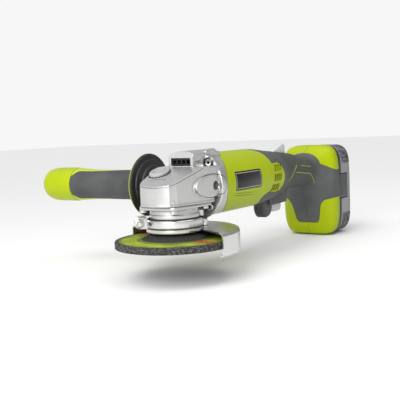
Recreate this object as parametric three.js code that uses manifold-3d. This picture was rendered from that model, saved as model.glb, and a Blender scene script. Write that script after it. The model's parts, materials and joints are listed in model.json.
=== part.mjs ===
// Cordless 115 mm angle grinder, as an assembly of separate pieces, in millimetres.
// +X runs from the spindle to the battery, +Y to the side handle, +Z up along the spindle.
// The origin is the centre of the spindle's lower end face.
import * as THREE from "three";
import { mergeVertices } from "three/addons/utils/BufferGeometryUtils.js";
import Module from "manifold-3d";

const wasm = await Module();
wasm.setup();

// Driving dimensions
const gap = 0.3;
const fine = 24;
const coarse = 12;
const motorZ = 51;
const handleX = 29.4;
const handleZ = 52;
const wheelRadius = 57.5;
const wheelThickness = 6.5;
const wheelBottom = -1.4;
const wheelBore = 11.2;
const hubRise = 5.1;
const spindleRadius = 6.8;
const crownTeeth = 24;
const pinionTeeth = 8;
const toothOuter = 20.4;
const toothInner = 16.4;
const headBottom = 37.3;
const headTopFront = 57.5;
const headSlope = 0.3385;
const headNoseX = -32;
const cornerX = -27;
const cornerY = 19.5;
const shoulderX = 16;
const sideY = 28;
const padY = 28.4;
const threadRadius = 4.5;
const ductHalf = 14;
const ductTopRadius = 34.5;
const ductFrontX = 13;
const barrelRadius = 31;
const collarRadius = 33.2;
const shelfZ = 70.6;
const jointX = 81.5;
const jointRadius = 35.5;
const spigotRadius = 23;
const guardRadius = 60.3;
const guardWall = 1.5;
const guardTop = 13.9;
const guardBottom = -7.7;
const guardTurn = -8.5;
const lockX = -3.7;
const lockY = 12.9;
const lockRadius = 9.8;
const skin = 2;
const wall = 2.4;
const gripStartX = 141;
const footX = 293.8;
const tabTurn = -55;
const clampTurn = 132;
const clampRadius = 33.6;
const clampZ = 21.6;
const footHalfWidth = 36;
const footTop = 79.8;
const footBottom = -33.7;
const stemZ = 47;
const stemHalf = 12.2;
const batteryEndX = 333;
const handleStart = 31;
const flangeY = 51.5;
const flangeRadius = 31.5;
const sleeveStart = 57;
const capStart = 147.5;
const handleEnd = 192.9;

// Materials
function finish(hex, roughness, metalness) {
  return new THREE.MeshStandardMaterial({ color: hex, roughness, metalness, flatShading: true });
}
const castAluminium = finish(0xb9bbbd, 0.42, 0.85);
const brightSteel = finish(0xc9cbcd, 0.3, 1);
const darkSteel = finish(0x55585c, 0.4, 1);
const limePlastic = finish(0xa8cc10, 0.42, 0);
const darkRubber = finish(0x3d4145, 0.75, 0);
const blackPlastic = finish(0x17181a, 0.5, 0);
const palePlastic = finish(0xc4c8ca, 0.5, 0);
const greyPlastic = finish(0x77797d, 0.55, 0);
const copper = finish(0xb06a3c, 0.35, 1);
const abrasive = finish(0x3a3a3a, 0.95, 0);
const carbon = finish(0x2b2b2d, 0.6, 0.1);

// Solids
function solidOf(geometry) {
  const bare = geometry.clone();
  bare.deleteAttribute("normal");
  bare.deleteAttribute("uv");
  const merged = mergeVertices(bare, 1e-4);
  return new wasm.Manifold(new wasm.Mesh({
    numProp: 3,
    vertProperties: merged.attributes.position.array,
    triVerts: new Uint32Array(merged.index.array),
  }));
}

function geometryOf(solid) {
  const mesh = solid.getMesh();
  const geometry = new THREE.BufferGeometry();
  geometry.setAttribute("position", new THREE.BufferAttribute(mesh.vertProperties.slice(), 3));
  geometry.setIndex(new THREE.BufferAttribute(mesh.triVerts.slice(), 1));
  return geometry;
}

function joined(first, ...others) {
  return geometryOf(others.reduce((sum, g) => sum.add(solidOf(g)), solidOf(first)));
}

function cut(first, ...others) {
  return geometryOf(others.reduce((rest, g) => rest.subtract(solidOf(g)), solidOf(first)));
}

function common(first, ...others) {
  return geometryOf(others.reduce((rest, g) => rest.intersect(solidOf(g)), solidOf(first)));
}

function block(x0, x1, y0, y1, z0, z1) {
  const box = new THREE.BoxGeometry(x1 - x0, y1 - y0, z1 - z0);
  return box.translate((x0 + x1) / 2, (y0 + y1) / 2, (z0 + z1) / 2);
}

// A rod between two ends along one axis, centred on the other two coordinates.
function rodX(radius, x0, x1, y, z, sides = coarse) {
  const rod = new THREE.CylinderGeometry(radius, radius, x1 - x0, sides);
  return rod.rotateZ(Math.PI / 2).translate((x0 + x1) / 2, y, z);
}

function rodY(radius, y0, y1, x, z, sides = coarse) {
  const rod = new THREE.CylinderGeometry(radius, radius, y1 - y0, sides);
  return rod.translate(x, (y0 + y1) / 2, z);
}

function rodZ(radius, z0, z1, x, y, sides = coarse) {
  const rod = new THREE.CylinderGeometry(radius, radius, z1 - z0, sides);
  return rod.rotateX(Math.PI / 2).translate(x, y, (z0 + z1) / 2);
}

// A turned solid about Z from [radius, height] points listed upwards.
function turned(points, sides = fine) {
  const profile = points.map(([r, h]) => new THREE.Vector2(r, h));
  return new THREE.LatheGeometry(profile, sides).rotateX(Math.PI / 2);
}

function turnedRing(points, sides = fine) {
  return turned([...points, points[0]], sides);
}

// The same, laid along +X or +Y instead of Z.
function alongX(geometry, y = 0, z = 0) {
  return geometry.rotateY(Math.PI / 2).translate(0, y, z);
}

function alongY(geometry, x = 0, z = 0) {
  return geometry.rotateX(-Math.PI / 2).translate(x, 0, z);
}

function tube(innerRadius, outerRadius, low, high, sides = coarse) {
  const profile = [[innerRadius, low], [outerRadius, low], [outerRadius, high], [innerRadius, high]];
  return turnedRing(profile, sides);
}

function atTurn(geometry, degrees) {
  return geometry.rotateZ(THREE.MathUtils.degToRad(degrees));
}

// An outline in the XY plane pushed up between two heights.
function plate(shape, z0, z1, curveSegments = 12) {
  const slab = new THREE.ExtrudeGeometry(shape, { depth: z1 - z0, bevelEnabled: false, curveSegments });
  return slab.translate(0, 0, z0);
}

// An outline in the XZ plane pushed between two Y positions.
function sidePlate(shape, y0, y1, curveSegments = 12) {
  const slab = new THREE.ExtrudeGeometry(shape, { depth: y1 - y0, bevelEnabled: false, curveSegments });
  return slab.rotateX(Math.PI / 2).translate(0, y1, 0);
}

function outline(points) {
  return new THREE.Shape(points.map(([a, b]) => new THREE.Vector2(a, b)));
}

// Rings with equal numbers of points, joined into one closed body: capped, or looped back to the first.
function skinned(rings, looped = false) {
  const count = rings[0].length;
  const points = rings.flat();
  const faces = [];
  const last = looped ? rings.length : rings.length - 1;
  for (let r = 0; r < last; r += 1) {
    const here = r * count;
    const next = ((r + 1) % rings.length) * count;
    for (let i = 0; i < count; i += 1) {
      const j = (i + 1) % count;
      faces.push(here + i, here + j, next + j);
      faces.push(here + i, next + j, next + i);
    }
  }
  if (!looped) {
    for (let i = 1; i < count - 1; i += 1) {
      const end = (rings.length - 1) * count;
      faces.push(0, i + 1, i);
      faces.push(end, end + i, end + i + 1);
    }
  }
  const geometry = new THREE.BufferGeometry().setFromPoints(points);
  geometry.setIndex(faces);
  if (solidOf(geometry).volume() < 0) {
    for (let i = 0; i < faces.length; i += 3) {
      [faces[i + 1], faces[i + 2]] = [faces[i + 2], faces[i + 1]];
    }
    geometry.setIndex(faces);
  }
  return geometry;
}

// A rounded section across X: power 2 is an ellipse, higher powers are squarer.
function sectionRing(x, top, bottom, halfWidth, power, count = 16) {
  const middle = (top + bottom) / 2;
  const halfHeight = (top - bottom) / 2;
  const ring = [];
  for (let i = 0; i < count; i += 1) {
    const angle = ((i + 0.5) / count) * 2 * Math.PI;
    const across = Math.cos(angle);
    const up = Math.sin(angle);
    const y = Math.sign(across) * Math.abs(across) ** (2 / power) * halfWidth;
    const z = Math.sign(up) * Math.abs(up) ** (2 / power) * halfHeight;
    ring.push(new THREE.Vector3(x, y, middle + z));
  }
  return ring;
}

// Gear case: a wedge-topped head over the spindle, a ducted collar and a round flange behind it.
const slopeAngle = Math.atan(headSlope);

function aboveSlope(lift, x0, x1) {
  const heightAt = (x) => headTopFront + lift + headSlope * (x - cornerX);
  return sidePlate(outline([[x0, heightAt(x0)], [x1, heightAt(x1)], [x1, 130], [x0, 130]]), -60, 60);
}

function headOutline(inset = 0) {
  const front = 40.5;
  const noseCentre = headNoseX + front;
  const spread = Math.asin(cornerY / front) - 0.08;
  const shape = new THREE.Shape();
  shape.moveTo(40, -sideY + inset);
  shape.lineTo(shoulderX, -sideY + inset);
  shape.lineTo(cornerX + 5, -cornerY - 1 + inset);
  shape.absarc(noseCentre, 0, front - inset, Math.PI + spread, Math.PI - spread, true);
  shape.lineTo(cornerX + 5, cornerY + 1 - inset);
  shape.lineTo(shoulderX, sideY - inset);
  shape.lineTo(40, sideY - inset);
  return shape;
}

function jointCylinder(extra) {
  return rodY(jointRadius + extra, -50, 50, jointX, motorZ, 32);
}

function ductBlock() {
  const chamferHigh = 5;
  const round = rodX(ductTopRadius, ductFrontX, 60, 0, motorZ, fine);
  const column = sidePlate(outline([
    [ductFrontX, 60], [62, 60], [62, 90], [ductFrontX + chamferHigh, 90],
    [ductFrontX + chamferHigh, 86], [ductFrontX, 80],
  ]), -ductHalf, ductHalf);
  return common(round, column);
}

function handlePad(side) {
  const shape = new THREE.Shape();
  shape.absellipse(20.3, 52.5, 22.4, 11.5, 0, 2 * Math.PI);
  return side < 0 ? sidePlate(shape, -padY, -20, 8) : sidePlate(shape, 20, padY, 8);
}

// Screws through the collar, as [y, z, x of the head's seat].
const caseScrews = [[-17.9, 73.4, 36], [17.9, 73.4, 36], [-20, 31.3, 31], [20, 31.3, 31]];

function collar() {
  const profile = [[0, 34], [collarRadius - 0.6, 34], [collarRadius, 36], [barrelRadius, 46],
    [barrelRadius, 75], [0, 75]];
  return alongX(turned(profile), 0, motorZ);
}

function gearCase() {
  const head = cut(plate(headOutline(), headBottom, 90), aboveSlope(0, -60, ductFrontX), block(
    ductFrontX - 1, 60, -60, 60, shelfZ, 100));
  const sideRooms = [[-60, -30.5], [30.5, 60]].map(([y0, y1]) => rodY(13, y0, y1, handleX, handleZ, 20));
  const flange = cut(collar(), jointCylinder(gap), ...sideRooms);
  const lowerNotches = [block(26, 34, -40, -17, 20, 41.5), block(26, 34, 17, 40, 20, 41.5)];
  const topLug = sidePlate(outline([[36, 80], [53, 80], [53, 85.4], [50, 86.6], [36, 84.6]]), -14, -7);
  const duct = cut(ductBlock(), jointCylinder(gap));
  const outside = joined(head, flange, duct, handlePad(-1), handlePad(1), topLug);
  const gearRoom = rodZ(21.2, headBottom - 1, 54, 0, 0, fine);
  const pinionRoom = rodX(8.6, 0, 27, 0, motorZ);
  const frontSeat = rodX(13.2, 26, 35.2, 0, motorZ, 32);
  const fanRoom = rodX(27.4, 39, 90, 0, motorZ, fine);
  const shaftHole = rodX(7, 20, 45, 0, motorZ);
  const window = sidePlate(outline([[0, 71.6], [45, 71.6], [45, 78.8], [0, 78.8]]), -11.2, 11.2);
  const bushSeat = rodZ(7.9, 45, 61.5, 0, 0);
  const buttonWell = rodZ(lockRadius + gap, 61.5, 90, lockX, lockY, 32);
  const pinHole = rodZ(2.6, 50, 90, lockX, lockY, 16);
  const springWell = rodZ(5.6, 58, 90, lockX, lockY, 20);
  const handleHoles = rodY(threadRadius, -40, -17, handleX, handleZ, 20);
  const handleHoleRight = rodY(threadRadius, 17, 40, handleX, handleZ, 20);
  const screwHoles = caseScrews.map(([y, z]) => rodX(1.8, 20, 90, y, z, 8));
  const headSeats = caseScrews.map(([y, z, x]) => rodX(3.9, x - 18, x, y, z, 8));
  const retainerHoles = retainerSpots.map(([x, y]) => rodZ(2.1, 30, 50, x, y, 8));
  return cut(outside, gearRoom, pinionRoom, frontSeat, fanRoom, shaftHole, window, bushSeat, buttonWell,
    pinHole, springWell, handleHoles, handleHoleRight, ...lowerNotches, ...screwHoles,
    ...headSeats, ...retainerHoles);
}

// Bearing retainer under the head, with the guard's neck.
const retainerSpots = [[-24.5, -17.5], [-24.5, 17.5], [20, -21], [20, 21]];

function bearingRetainer() {
  const rim = new THREE.Shape();
  rim.moveTo(25, -25);
  rim.lineTo(-20, -20.5);
  rim.absarc(-22.5, -16, 5.5, -Math.PI / 2 + 0.3, -Math.PI, true);
  rim.lineTo(-28.5, 16);
  rim.absarc(-22.5, 16, 5.5, Math.PI, Math.PI / 2 - 0.3, true);
  rim.lineTo(25, 25);
  const flangePlate = plate(rim, 34, headBottom - gap, 6);
  const neck = turned([[0, 16.9], [spigotRadius, 16.9], [spigotRadius, 24.6], [spigotRadius + 0.9, 25.2],
    [spigotRadius + 0.9, 28.6], [spigotRadius, 29.2], [spigotRadius, 34.5], [0, 34.5]]);
  const stopLug = atTurn(block(20, 27, -4, 4, 25.2, 31), tabTurn);
  const bearingSeat = rodZ(14.2, 22.7, 40, 0, 0, 32);
  const mouth = rodZ(10, 10, 40, 0, 0, 32);
  const holes = retainerSpots.map(([x, y]) => rodZ(2.1, 30, 50, x, y, 8));
  const spotFaces = retainerSpots.map(([x, y]) => rodZ(3.9, 25, 34.4, x, y, 8));
  return cut(joined(flangePlate, neck, stopLug), bearingSeat, mouth, ...holes, ...spotFaces);
}

function screwAlongX(x, y, z, length) {
  const thread = rodX(1.5, x - 0.5, x + length, y, z, 8);
  const head = cut(rodX(3.5, x - 3, x - gap, y, z, 12), rodX(1.5, x - 3.2, x - 1.6, y, z, 6));
  return joined(thread, head);
}

function screwAlongZ(x, y, z, length) {
  const thread = rodZ(1.8, z, z + length, x, y, 8);
  const head = cut(rodZ(3.4, z - 2.8, z + 0.1, x, y, 12), rodZ(1.5, z - 3, z - 1.4, x, y, 6));
  return joined(thread, head);
}

function exhaustLouvre() {
  const frame = block(14.6, 16.6, -10.8, 10.8, 72, 78.4);
  const slots = [-7.8, -2.6, 2.6, 7.8].map((y) => block(14, 18, y - 1.9, y + 1.9, 73.4, 77));
  return cut(frame, ...slots);
}

// Bevel gears whose teeth all point at the place where the two shafts' axes cross.
const apex = new THREE.Vector3(0, 0, motorZ);

function scaledTo(ring, share) {
  return ring.map((p) => p.clone().sub(apex).multiplyScalar(share).add(apex));
}

const pinionPitch = (toothOuter * pinionTeeth) / crownTeeth;

function crownGear() {
  const share = toothInner / toothOuter;
  const top = [];
  const steps = [[-0.27, -1], [-0.12, 1], [0.12, 1], [0.27, -1]];
  for (let tooth = 0; tooth < crownTeeth; tooth += 1) {
    for (const [place, side] of steps) {
      const angle = ((tooth + place) / crownTeeth) * 2 * Math.PI;
      const z = motorZ - pinionPitch + (side > 0 ? 0.95 : -1.25);
      top.push(new THREE.Vector3(toothOuter * Math.cos(angle), toothOuter * Math.sin(angle), z));
    }
  }
  const inner = scaledTo(top, share);
  const base = (ring) => ring.map((p) => new THREE.Vector3(p.x, p.y, headBottom + 1.2));
  const toothed = skinned([base(inner), base(top), top, inner], true);
  const web = tube(spindleRadius + gap, toothInner + 0.5, headBottom + 1.2, 42.6, 16);
  const pocket = rodZ(3, 38, 50, lockX, lockY, 16);
  const pockets = [0, 90, 180, 270].map((turn) => atTurn(pocket.clone(), turn));
  return cut(joined(toothed, web), ...pockets);
}

function drivePinion() {
  const ring = [];
  const steps = [[-0.34, -1.05], [-0.12, 1.05], [0.12, 1.05], [0.34, -1.05]];
  for (let tooth = 0; tooth < pinionTeeth; tooth += 1) {
    for (const [place, step] of steps) {
      const angle = ((tooth + 0.5 + place) / pinionTeeth) * 2 * Math.PI - Math.PI / 2;
      const radius = pinionPitch + step;
      ring.push(new THREE.Vector3(toothOuter, radius * Math.cos(angle), motorZ + radius * Math.sin(angle)));
    }
  }
  const cone = skinned([scaledTo(ring, toothInner / toothOuter), ring]);
  const hub = rodX(6, toothOuter - 0.1, 25.4, 0, motorZ);
  return cut(joined(cone, hub), rodX(3.6, 0, 40, 0, motorZ));
}

// Spindle, wheel, flanges
function spindle() {
  return turned([[0, 0], [spindleRadius - 0.8, 0], [spindleRadius, 0.8], [spindleRadius, 10.2],
    [9, 10.2], [9, 22.2], [6.7, 22.4], [6.7, 46.4], [4.8, 46.6], [4.8, 60.6], [0, 60.6]], 20);
}

function innerFlange() {
  const low = wheelBottom + wheelThickness + hubRise + 0.2;
  return turnedRing([[9.3, low], [19, low], [19, low + 1.6], [17.6, low + 5], [9.3, low + 5]]);
}

function grindingWheel() {
  const low = wheelBottom;
  const top = low + wheelThickness;
  const roof = low + hubRise;
  return turnedRing([
    [wheelBore, roof], [21, roof], [29, low], [wheelRadius, low], [wheelRadius, top], [32.5, top],
    [23, top + hubRise], [wheelBore, top + hubRise],
  ], 48);
}

function wheelNut() {
  const roof = wheelBottom + hubRise - gap;
  const low = roof - 4.2;
  const body = turnedRing([[spindleRadius + gap, low], [16.4, low], [17.6, low + 1.2], [17.6, roof],
    [spindleRadius + 4, roof], [spindleRadius + 4, roof + 2.2], [spindleRadius + gap, roof + 2.2]], 20);
  const pins = [0, 90, 180, 270].map((turn) => atTurn(rodZ(2.2, low - 1, low + 2.6, 13, 0, 12), turn));
  return cut(body, ...pins);
}

// Motor
function motorShaft() {
  return alongX(turned([[0, 13], [3.3, 13], [3.3, 26], [4.7, 26.2], [4.7, 131], [3.8, 131.2],
    [3.8, 140], [0, 140]], 16), 0, motorZ);
}

function armatureCore() {
  const stack = alongX(tube(5, 19, 68, 112, 24), 0, motorZ);
  const slots = [];
  for (let i = 0; i < 12; i += 1) {
    const slot = block(60, 120, -1, 1, 13.5, 25);
    slots.push(slot.rotateX((i / 12) * 2 * Math.PI).translate(0, 0, motorZ));
  }
  return cut(stack, ...slots);
}

function commutator() {
  const drum = alongX(tube(5, 11, 114.5, 128, 20), 0, motorZ);
  const riser = alongX(tube(5, 13, 113.2, 115, 20), 0, motorZ);
  return joined(drum, riser);
}

function coolingFan() {
  const hub = alongX(tube(5, 9, 40.5, 52, 16), 0, motorZ);
  const disc = alongX(tube(8, 23.3, 50.6, 52, 24), 0, motorZ);
  const blades = [];
  for (let i = 0; i < 9; i += 1) {
    const blade = block(42, 51, -0.8, 0.8, 8.5, 22.8);
    blades.push(blade.rotateX((i / 9) * 2 * Math.PI).translate(0, 0, motorZ));
  }
  return joined(disc, hub, ...blades);
}

function magnetCan() {
  const profile = [[22, 60], [24.2, 60], [24.2, 112], [20.5, 113], [20.5, 111.4], [22, 110.8]];
  return alongX(turnedRing(profile, 20), 0, motorZ);
}

function brush(side) {
  const [low, high] = side < 0 ? [-25.3, -11.4] : [11.4, 25.3];
  const holder = cut(block(117, 126.5, low, high, motorZ - 4.6, motorZ + 4.6),
    block(118.6, 124.9, low - 1, high + 1, motorZ - 3, motorZ + 3));
  const stick = block(118.5, 125, side < 0 ? -19 : 11.4, side < 0 ? -11.4 : 19, motorZ - 3.1, motorZ + 3.1);
  return joined(holder, stick);
}

// Spindle lock: a button with a slanted top, on a pin that drops into the crown gear.
class Helix extends THREE.Curve {
  constructor(radius, low, high, turns) {
    super();
    Object.assign(this, { radius, low, high, turns });
  }

  getPoint(t, target = new THREE.Vector3()) {
    const angle = t * this.turns * 2 * Math.PI;
    const z = this.low + (this.high - this.low) * t;
    return target.set(this.radius * Math.cos(angle), this.radius * Math.sin(angle), z);
  }
}

function coilSpring(radius, wire, low, high, turns, x, y) {
  const section = new THREE.Shape().absarc(0, 0, wire, 0, 2 * Math.PI);
  const path = new Helix(radius, low + wire, high - wire, turns);
  const coil = new THREE.ExtrudeGeometry(section, {
    steps: turns * 7, bevelEnabled: false, extrudePath: path, curveSegments: 3,
  });
  return coil.translate(x, y, 0);
}

function lockButton() {
  const body = rodZ(lockRadius, 66, 90, lockX, lockY, 24);
  const skirt = rodZ(4.4, 65.6, 67, lockX, lockY, 20);
  const cap = cut(joined(body, skirt), aboveSlope(3.4, -60, 60));
  return cut(cap, rodZ(2.4, 60, 68.6, lockX, lockY, 8));
}

function lockPin() {
  return rodZ(2.1, 44.2, 68.3, lockX, lockY, 16);
}

// Guard with its clamp
function wheelGuard() {
  const lipRadius = guardRadius - 4.2;
  const rim = turnedRing([
    [lipRadius, guardBottom], [guardRadius - 0.6, guardBottom], [guardRadius, guardBottom + 0.6],
    [guardRadius, guardTop - 2.5], [guardRadius - 2.5, guardTop], [24.6, guardTop],
    [24.6, guardTop - guardWall], [guardRadius - 3, guardTop - guardWall],
    [guardRadius - guardWall, guardTop - 3],
    [guardRadius - guardWall, guardBottom + guardWall], [lipRadius, guardBottom + guardWall],
  ], 40);
  const frontEdge = outline([[-70, -70], [-1, -70], [-1, -56], [13, -14], [13, 14], [-1, 56], [-1, 70],
    [-70, 70]]);
  const ring = turnedRing([[23.5, guardTop - guardWall], [27, guardTop - guardWall], [27, guardTop + 2],
    [23.5, guardTop + 2]], fine);
  const tab = atTurn(block(25, 31.5, -4.5, 4.5, guardTop - 0.5, guardTop + 1.9), tabTurn - guardTurn);
  return atTurn(joined(cut(rim, plate(frontEdge, -30, 30)), ring, tab), guardTurn);
}

function clampBand() {
  const low = 16.3;
  const high = 24.3;
  const earTop = 27;
  const band = turnedRing([[23.5, low], [27, low], [27, high], [23.5, high]], fine);
  const ear = (inner, outer) => block(25.5, 38, Math.min(inner, outer), Math.max(inner, outer), low, earTop);
  const roots = joined(block(24, 27.4, -7.6, -1.2, low, high), block(24, 27.4, 1.2, 7.6, low, high));
  const split = block(20, 40, -1.2, 1.2, 10, 30);
  const hole = rodY(2.2, -10, 10, clampRadius, clampZ, 12);
  const bore = rodZ(23.5, 10, 24.4, 0, 0, fine);
  const ringRoom = rodZ(24.4, 24.35, 30, 0, 0, fine);
  const tab = atTurn(block(26, 30.5, -4, 4, low, 22.5), tabTurn - clampTurn);
  return atTurn(cut(joined(band, ear(-7.6, -3.2), ear(3.2, 7.6), roots, tab), split, hole, bore, ringRoom),
    clampTurn);
}

function clampScrew() {
  const thread = rodY(1.9, -8, 14, clampRadius, clampZ, 12);
  const head = cut(rodY(4.2, -12, -7.9, clampRadius, clampZ, 18), rodY(2, -13, -10, clampRadius, clampZ, 6));
  return atTurn(joined(thread, head), clampTurn);
}

function clampNut() {
  const body = rodY(4.1, 7.9, 11.6, clampRadius, clampZ, 6);
  return atTurn(cut(body, rodY(2.2, 0, 20, clampRadius, clampZ, 12)), clampTurn);
}

// Side handle, turned about its own axis
function handlePiece(points, sides = 20) {
  return alongY(turned(points, sides), handleX, handleZ);
}

function handleStud() {
  return handlePiece([[0, 17.5], [threadRadius - 1, 17.5], [threadRadius - 0.3, 18.5],
    [threadRadius - 0.3, handleStart + 0.5], [7.6, handleStart + 0.6], [7.6, 38], [5, 38.2], [5, 90],
    [0, 90]], 12);
}

function handleFlange() {
  return handlePiece([
    [0, 150], [11, 150], [11, sleeveStart + 3], [20, sleeveStart - 2],
    [flangeRadius - 1.5, flangeY + 2.4], [flangeRadius, flangeY + 0.6], [flangeRadius - 1, flangeY - 1.5],
    [24, flangeY - 3.5], [17.5, flangeY - 7.5], [12.5, flangeY - 12], [12, handleStart], [7.9, handleStart],
    [7.9, 38.3], [5.3, 38.6], [5.3, 90.5], [0, 90.5],
  ].reverse());
}

function handleSleeve() {
  const low = sleeveStart + 3.6;
  const high = capStart - gap;
  const points = [[11.3, low], [15.5, low], [16.2, low + 3], [15.2, low + 14]];
  points.push([15.3, (low + high) / 2], [16.3, high - 12], [17.6, high - 1], [17.2, high], [11.3, high]);
  return alongY(turnedRing(points, 20), handleX, handleZ);
}

function handleCap() {
  return handlePiece([
    [0, 151], [11.3, 151], [11.3, capStart], [17.6, capStart], [18.1, capStart + 3], [18.1, handleEnd - 16],
    [17, handleEnd - 7], [13.5, handleEnd - 1.6], [9, handleEnd], [0, handleEnd],
  ]);
}

// Motor housing, grip and foot share one outer form.
const bodySections = [
  { x: 44, top: 82, bottom: 20, half: 31, power: 2, foot: false },
  { x: 128, top: 82, bottom: 20, half: 31, power: 2, foot: false },
  { x: 165, top: 78.6, bottom: 22.6, half: 27.6, power: 2, foot: false },
  { x: 190, top: 76.2, bottom: 27, half: 24.2, power: 2.05, foot: false },
  { x: 215, top: 73.6, bottom: 30.2, half: 21.4, power: 2.1, foot: false },
  { x: 260, top: 67.4, bottom: 26.6, half: 20.8, power: 2.2, foot: false },
  { x: 276, top: 73.5, bottom: -10, half: 29.4, power: 3, foot: true },
  { x: 280, top: 76.3, bottom: -29.5, half: 33.2, power: 4, foot: true },
  { x: 284.5, top: 78.8, bottom: -33.2, half: 35.6, power: 5, foot: true },
  { x: footX, top: footTop, bottom: footBottom, half: footHalfWidth, power: 5, foot: true },
];

function bodyForm(inset, endX, count = 16) {
  const rings = bodySections.map((s) => {
    const shifted = s.foot ? s.x + inset : s.x;
    const x = s.x === footX ? endX : shifted;
    return sectionRing(x, s.top - inset, s.bottom + inset, s.half - inset, s.power, count);
  });
  return skinned(rings);
}

function footTongue(grow) {
  const half = 15.5 + grow;
  const shoulder = 19.5 + grow;
  const points = [
    [-40, 16 - grow], [-24, 12 - grow], [-shoulder, 6], [-half, -13], [-half + 3, -17 - grow],
    [half - 3, -17 - grow], [half, -13], [shoulder, 6], [24, 12 - grow], [40, 16 - grow],
    [40, 46 + grow], [19.7, 58.2 + grow], [10.3, 66.5 + grow], [-10.3, 66.5 + grow], [-19.7, 58.2 + grow],
    [-40, 46 + grow],
  ];
  const slab = new THREE.ExtrudeGeometry(outline(points), { depth: 60, bevelEnabled: false });
  return slab.rotateY(Math.PI / 2).rotateX(Math.PI / 2).translate(footX - 60, 0, 0);
}

function ventWindow(grow, y0, y1) {
  const points = [[gripStartX - 6, 35.2 - grow], [150, 34 - grow], [161, 34.6 - grow], [168 + grow, 41.5],
    [169.5 + grow, 52.5], [164 + grow, 63], [158, 66 + grow], [gripStartX - 6, 66 + grow]];
  return sidePlate(outline(points), y0, y1);
}

function triggerBlock(inset) {
  const points = [[163, 40], [163, 17.5 + inset], [174, 17.5 + inset], [202.5 - inset, 17.8 + inset],
    [207.5 - inset, 33], [207.5 - inset, 40]];
  return sidePlate(outline(points), -10 + inset, 10 - inset);
}

function fingerGuard() {
  const shape = new THREE.Shape();
  shape.moveTo(154.5, 30);
  shape.lineTo(154.5, 18);
  shape.quadraticCurveTo(156, 5.5, 163, 4.2);
  shape.lineTo(169, 4.4);
  shape.quadraticCurveTo(174, 6, 174.5, 13);
  shape.lineTo(174.8, 32);
  return sidePlate(shape, -7.2, 7.2, 6);
}

const housingScrews = [[152, 69.5, 20], [160, 28.8, 12.8], [286.5, 67, 30.4], [286.5, -21, 30.4]];

// Keeps the half of a body on one side of the seam.
function halfOf(geometry, side) {
  const [y0, y1] = side < 0 ? [-80, -gap / 2] : [gap / 2, 80];
  return common(geometry, block(30, 300, y0, y1, -60, 130));
}

// The grip's front edge, from the top of the barrel round its side to the bottom.
function gripRegion(grow) {
  const frontEdge = [[128, 110], [128, 81.5], [134, 79.5], [138, 76.5], [140, 70], [141, 64], [141, 37],
    [135, 37.4], [127, 34.5], [122, 31.5], [123.5, 27.5], [127, 24], [130, 18], [130, -20]];
  const rearX = footX - 24;
  const area = outline([...frontEdge.map(([x, z]) => [x - grow, z]), [rearX, -20], [rearX, 110]]);
  return joined(sidePlate(area, -50, 50), footTongue(grow));
}

function housing(side) {
  const form = cut(bodyForm(0, footX), rodX(60, 20, 44.5, 0, motorZ));
  const recess = common(cut(bodyForm(-3, footX + 5), bodyForm(skin + gap, footX + 6)), gripRegion(gap));
  const windows = ventWindow(-gap, -60, 60);
  const body = cut(form, cut(recess, windows));
  const front = cut(rodX(80, 30, jointX, 0, motorZ), jointCylinder(0));
  const room = block(40, footX - 3.5, -60, 60, -60, 130);
  const hollow = common(bodyForm(skin + wall, footX + skin + wall, 12), room);
  const holeHalf = stemHalf + 0.6;
  const stemRing = (x) => sectionRing(x, stemZ + holeHalf, stemZ - holeHalf, holeHalf, 4);
  const stemHole = skinned([stemRing(230), stemRing(300)]);
  const triggerCore = cut(common(triggerBlock(skin + gap), block(157, 217, -20, 20, 10, 34)),
    rodX(18.4, 140, 230, 0, 50.5));
  const bosses = housingScrews.map(([x, z, y]) => rodY(3.6, -y, y, x, z, 8));
  const frontBosses = caseScrews.map(([y, z]) => rodX(3, 50, 66, y, z, 8));
  const bossTrim = cut(bodyForm(0.6, footX), front);
  const innerForm = bodyForm(skin + gap, footX - 0.5);
  const shell = joined(cut(body, front, hollow), common(joined(bosses[0], ...bosses.slice(1)), innerForm),
    triggerCore, ...frontBosses.map((b) => common(b, bossTrim)));
  const holes = housingScrews.map(([x, z]) => rodY(1.9, -8, 60, x, z, 8));
  const counterbores = housingScrews.map(([x, z, y]) => rodY(3.7, y - 3.4, 60, x, z, 8));
  const threads = caseScrews.map(([y, z]) => rodX(1.8, 20, 66.5, y, z, 8));
  const triggerSlot = block(170, 200.5, -6, 6, 0, 45);
  const sliderSlot = block(180.5, 214, -5.4, 5.4, 66, 90);
  const slots = side < 0 ? ventSlots(-1) : ventSlots(1);
  const plateSeat = nameplateForm(side, gap, 1.5);
  return cut(halfOf(shell, side), stemHole, ...holes, ...counterbores, ...threads, triggerSlot, sliderSlot,
    plateSeat, ...slots);
}

function ventSlots(side) {
  const slots = [];
  const rows = [
    { x: 135.6, low: 36.4, high: 43.2, lean: 0.4 },
    { x: 138.8, low: 46.4, high: 53.8, lean: 1.8 },
    { x: 142, low: 57, high: 63.6, lean: 3.4 },
  ];
  rows.forEach(({ x: start, low, high, lean }) => {
    for (let i = 0; i < 4; i += 1) {
      const x = start + i * 5.3;
      const shape = outline([[x, low], [x + 3, low], [x + 3 + lean, high], [x + lean, high]]);
      slots.push(side < 0 ? sidePlate(shape, -60, -15) : sidePlate(shape, 15, 60));
    }
  });
  return slots;
}

function grip(side) {
  const layer = common(cut(bodyForm(0, footX), bodyForm(skin, footX + skin)), gripRegion(0));
  const under = cut(joined(fingerGuard(), triggerBlock(0)), bodyForm(skin, footX));
  const solid = cut(joined(layer, under), triggerBlock(skin));
  const trigger = block(173.5, 200.8, -6.4, 6.4, 0, 45);
  const slider = block(180.2, 214.3, -5.7, 5.7, 66, 90);
  const holes = housingScrews.map(([x, z]) => rodY(3.9, 6, 60, x, z, 8));
  return cut(halfOf(solid, side), ventWindow(0, -60, 60), trigger, slider, ...holes);
}

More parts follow.
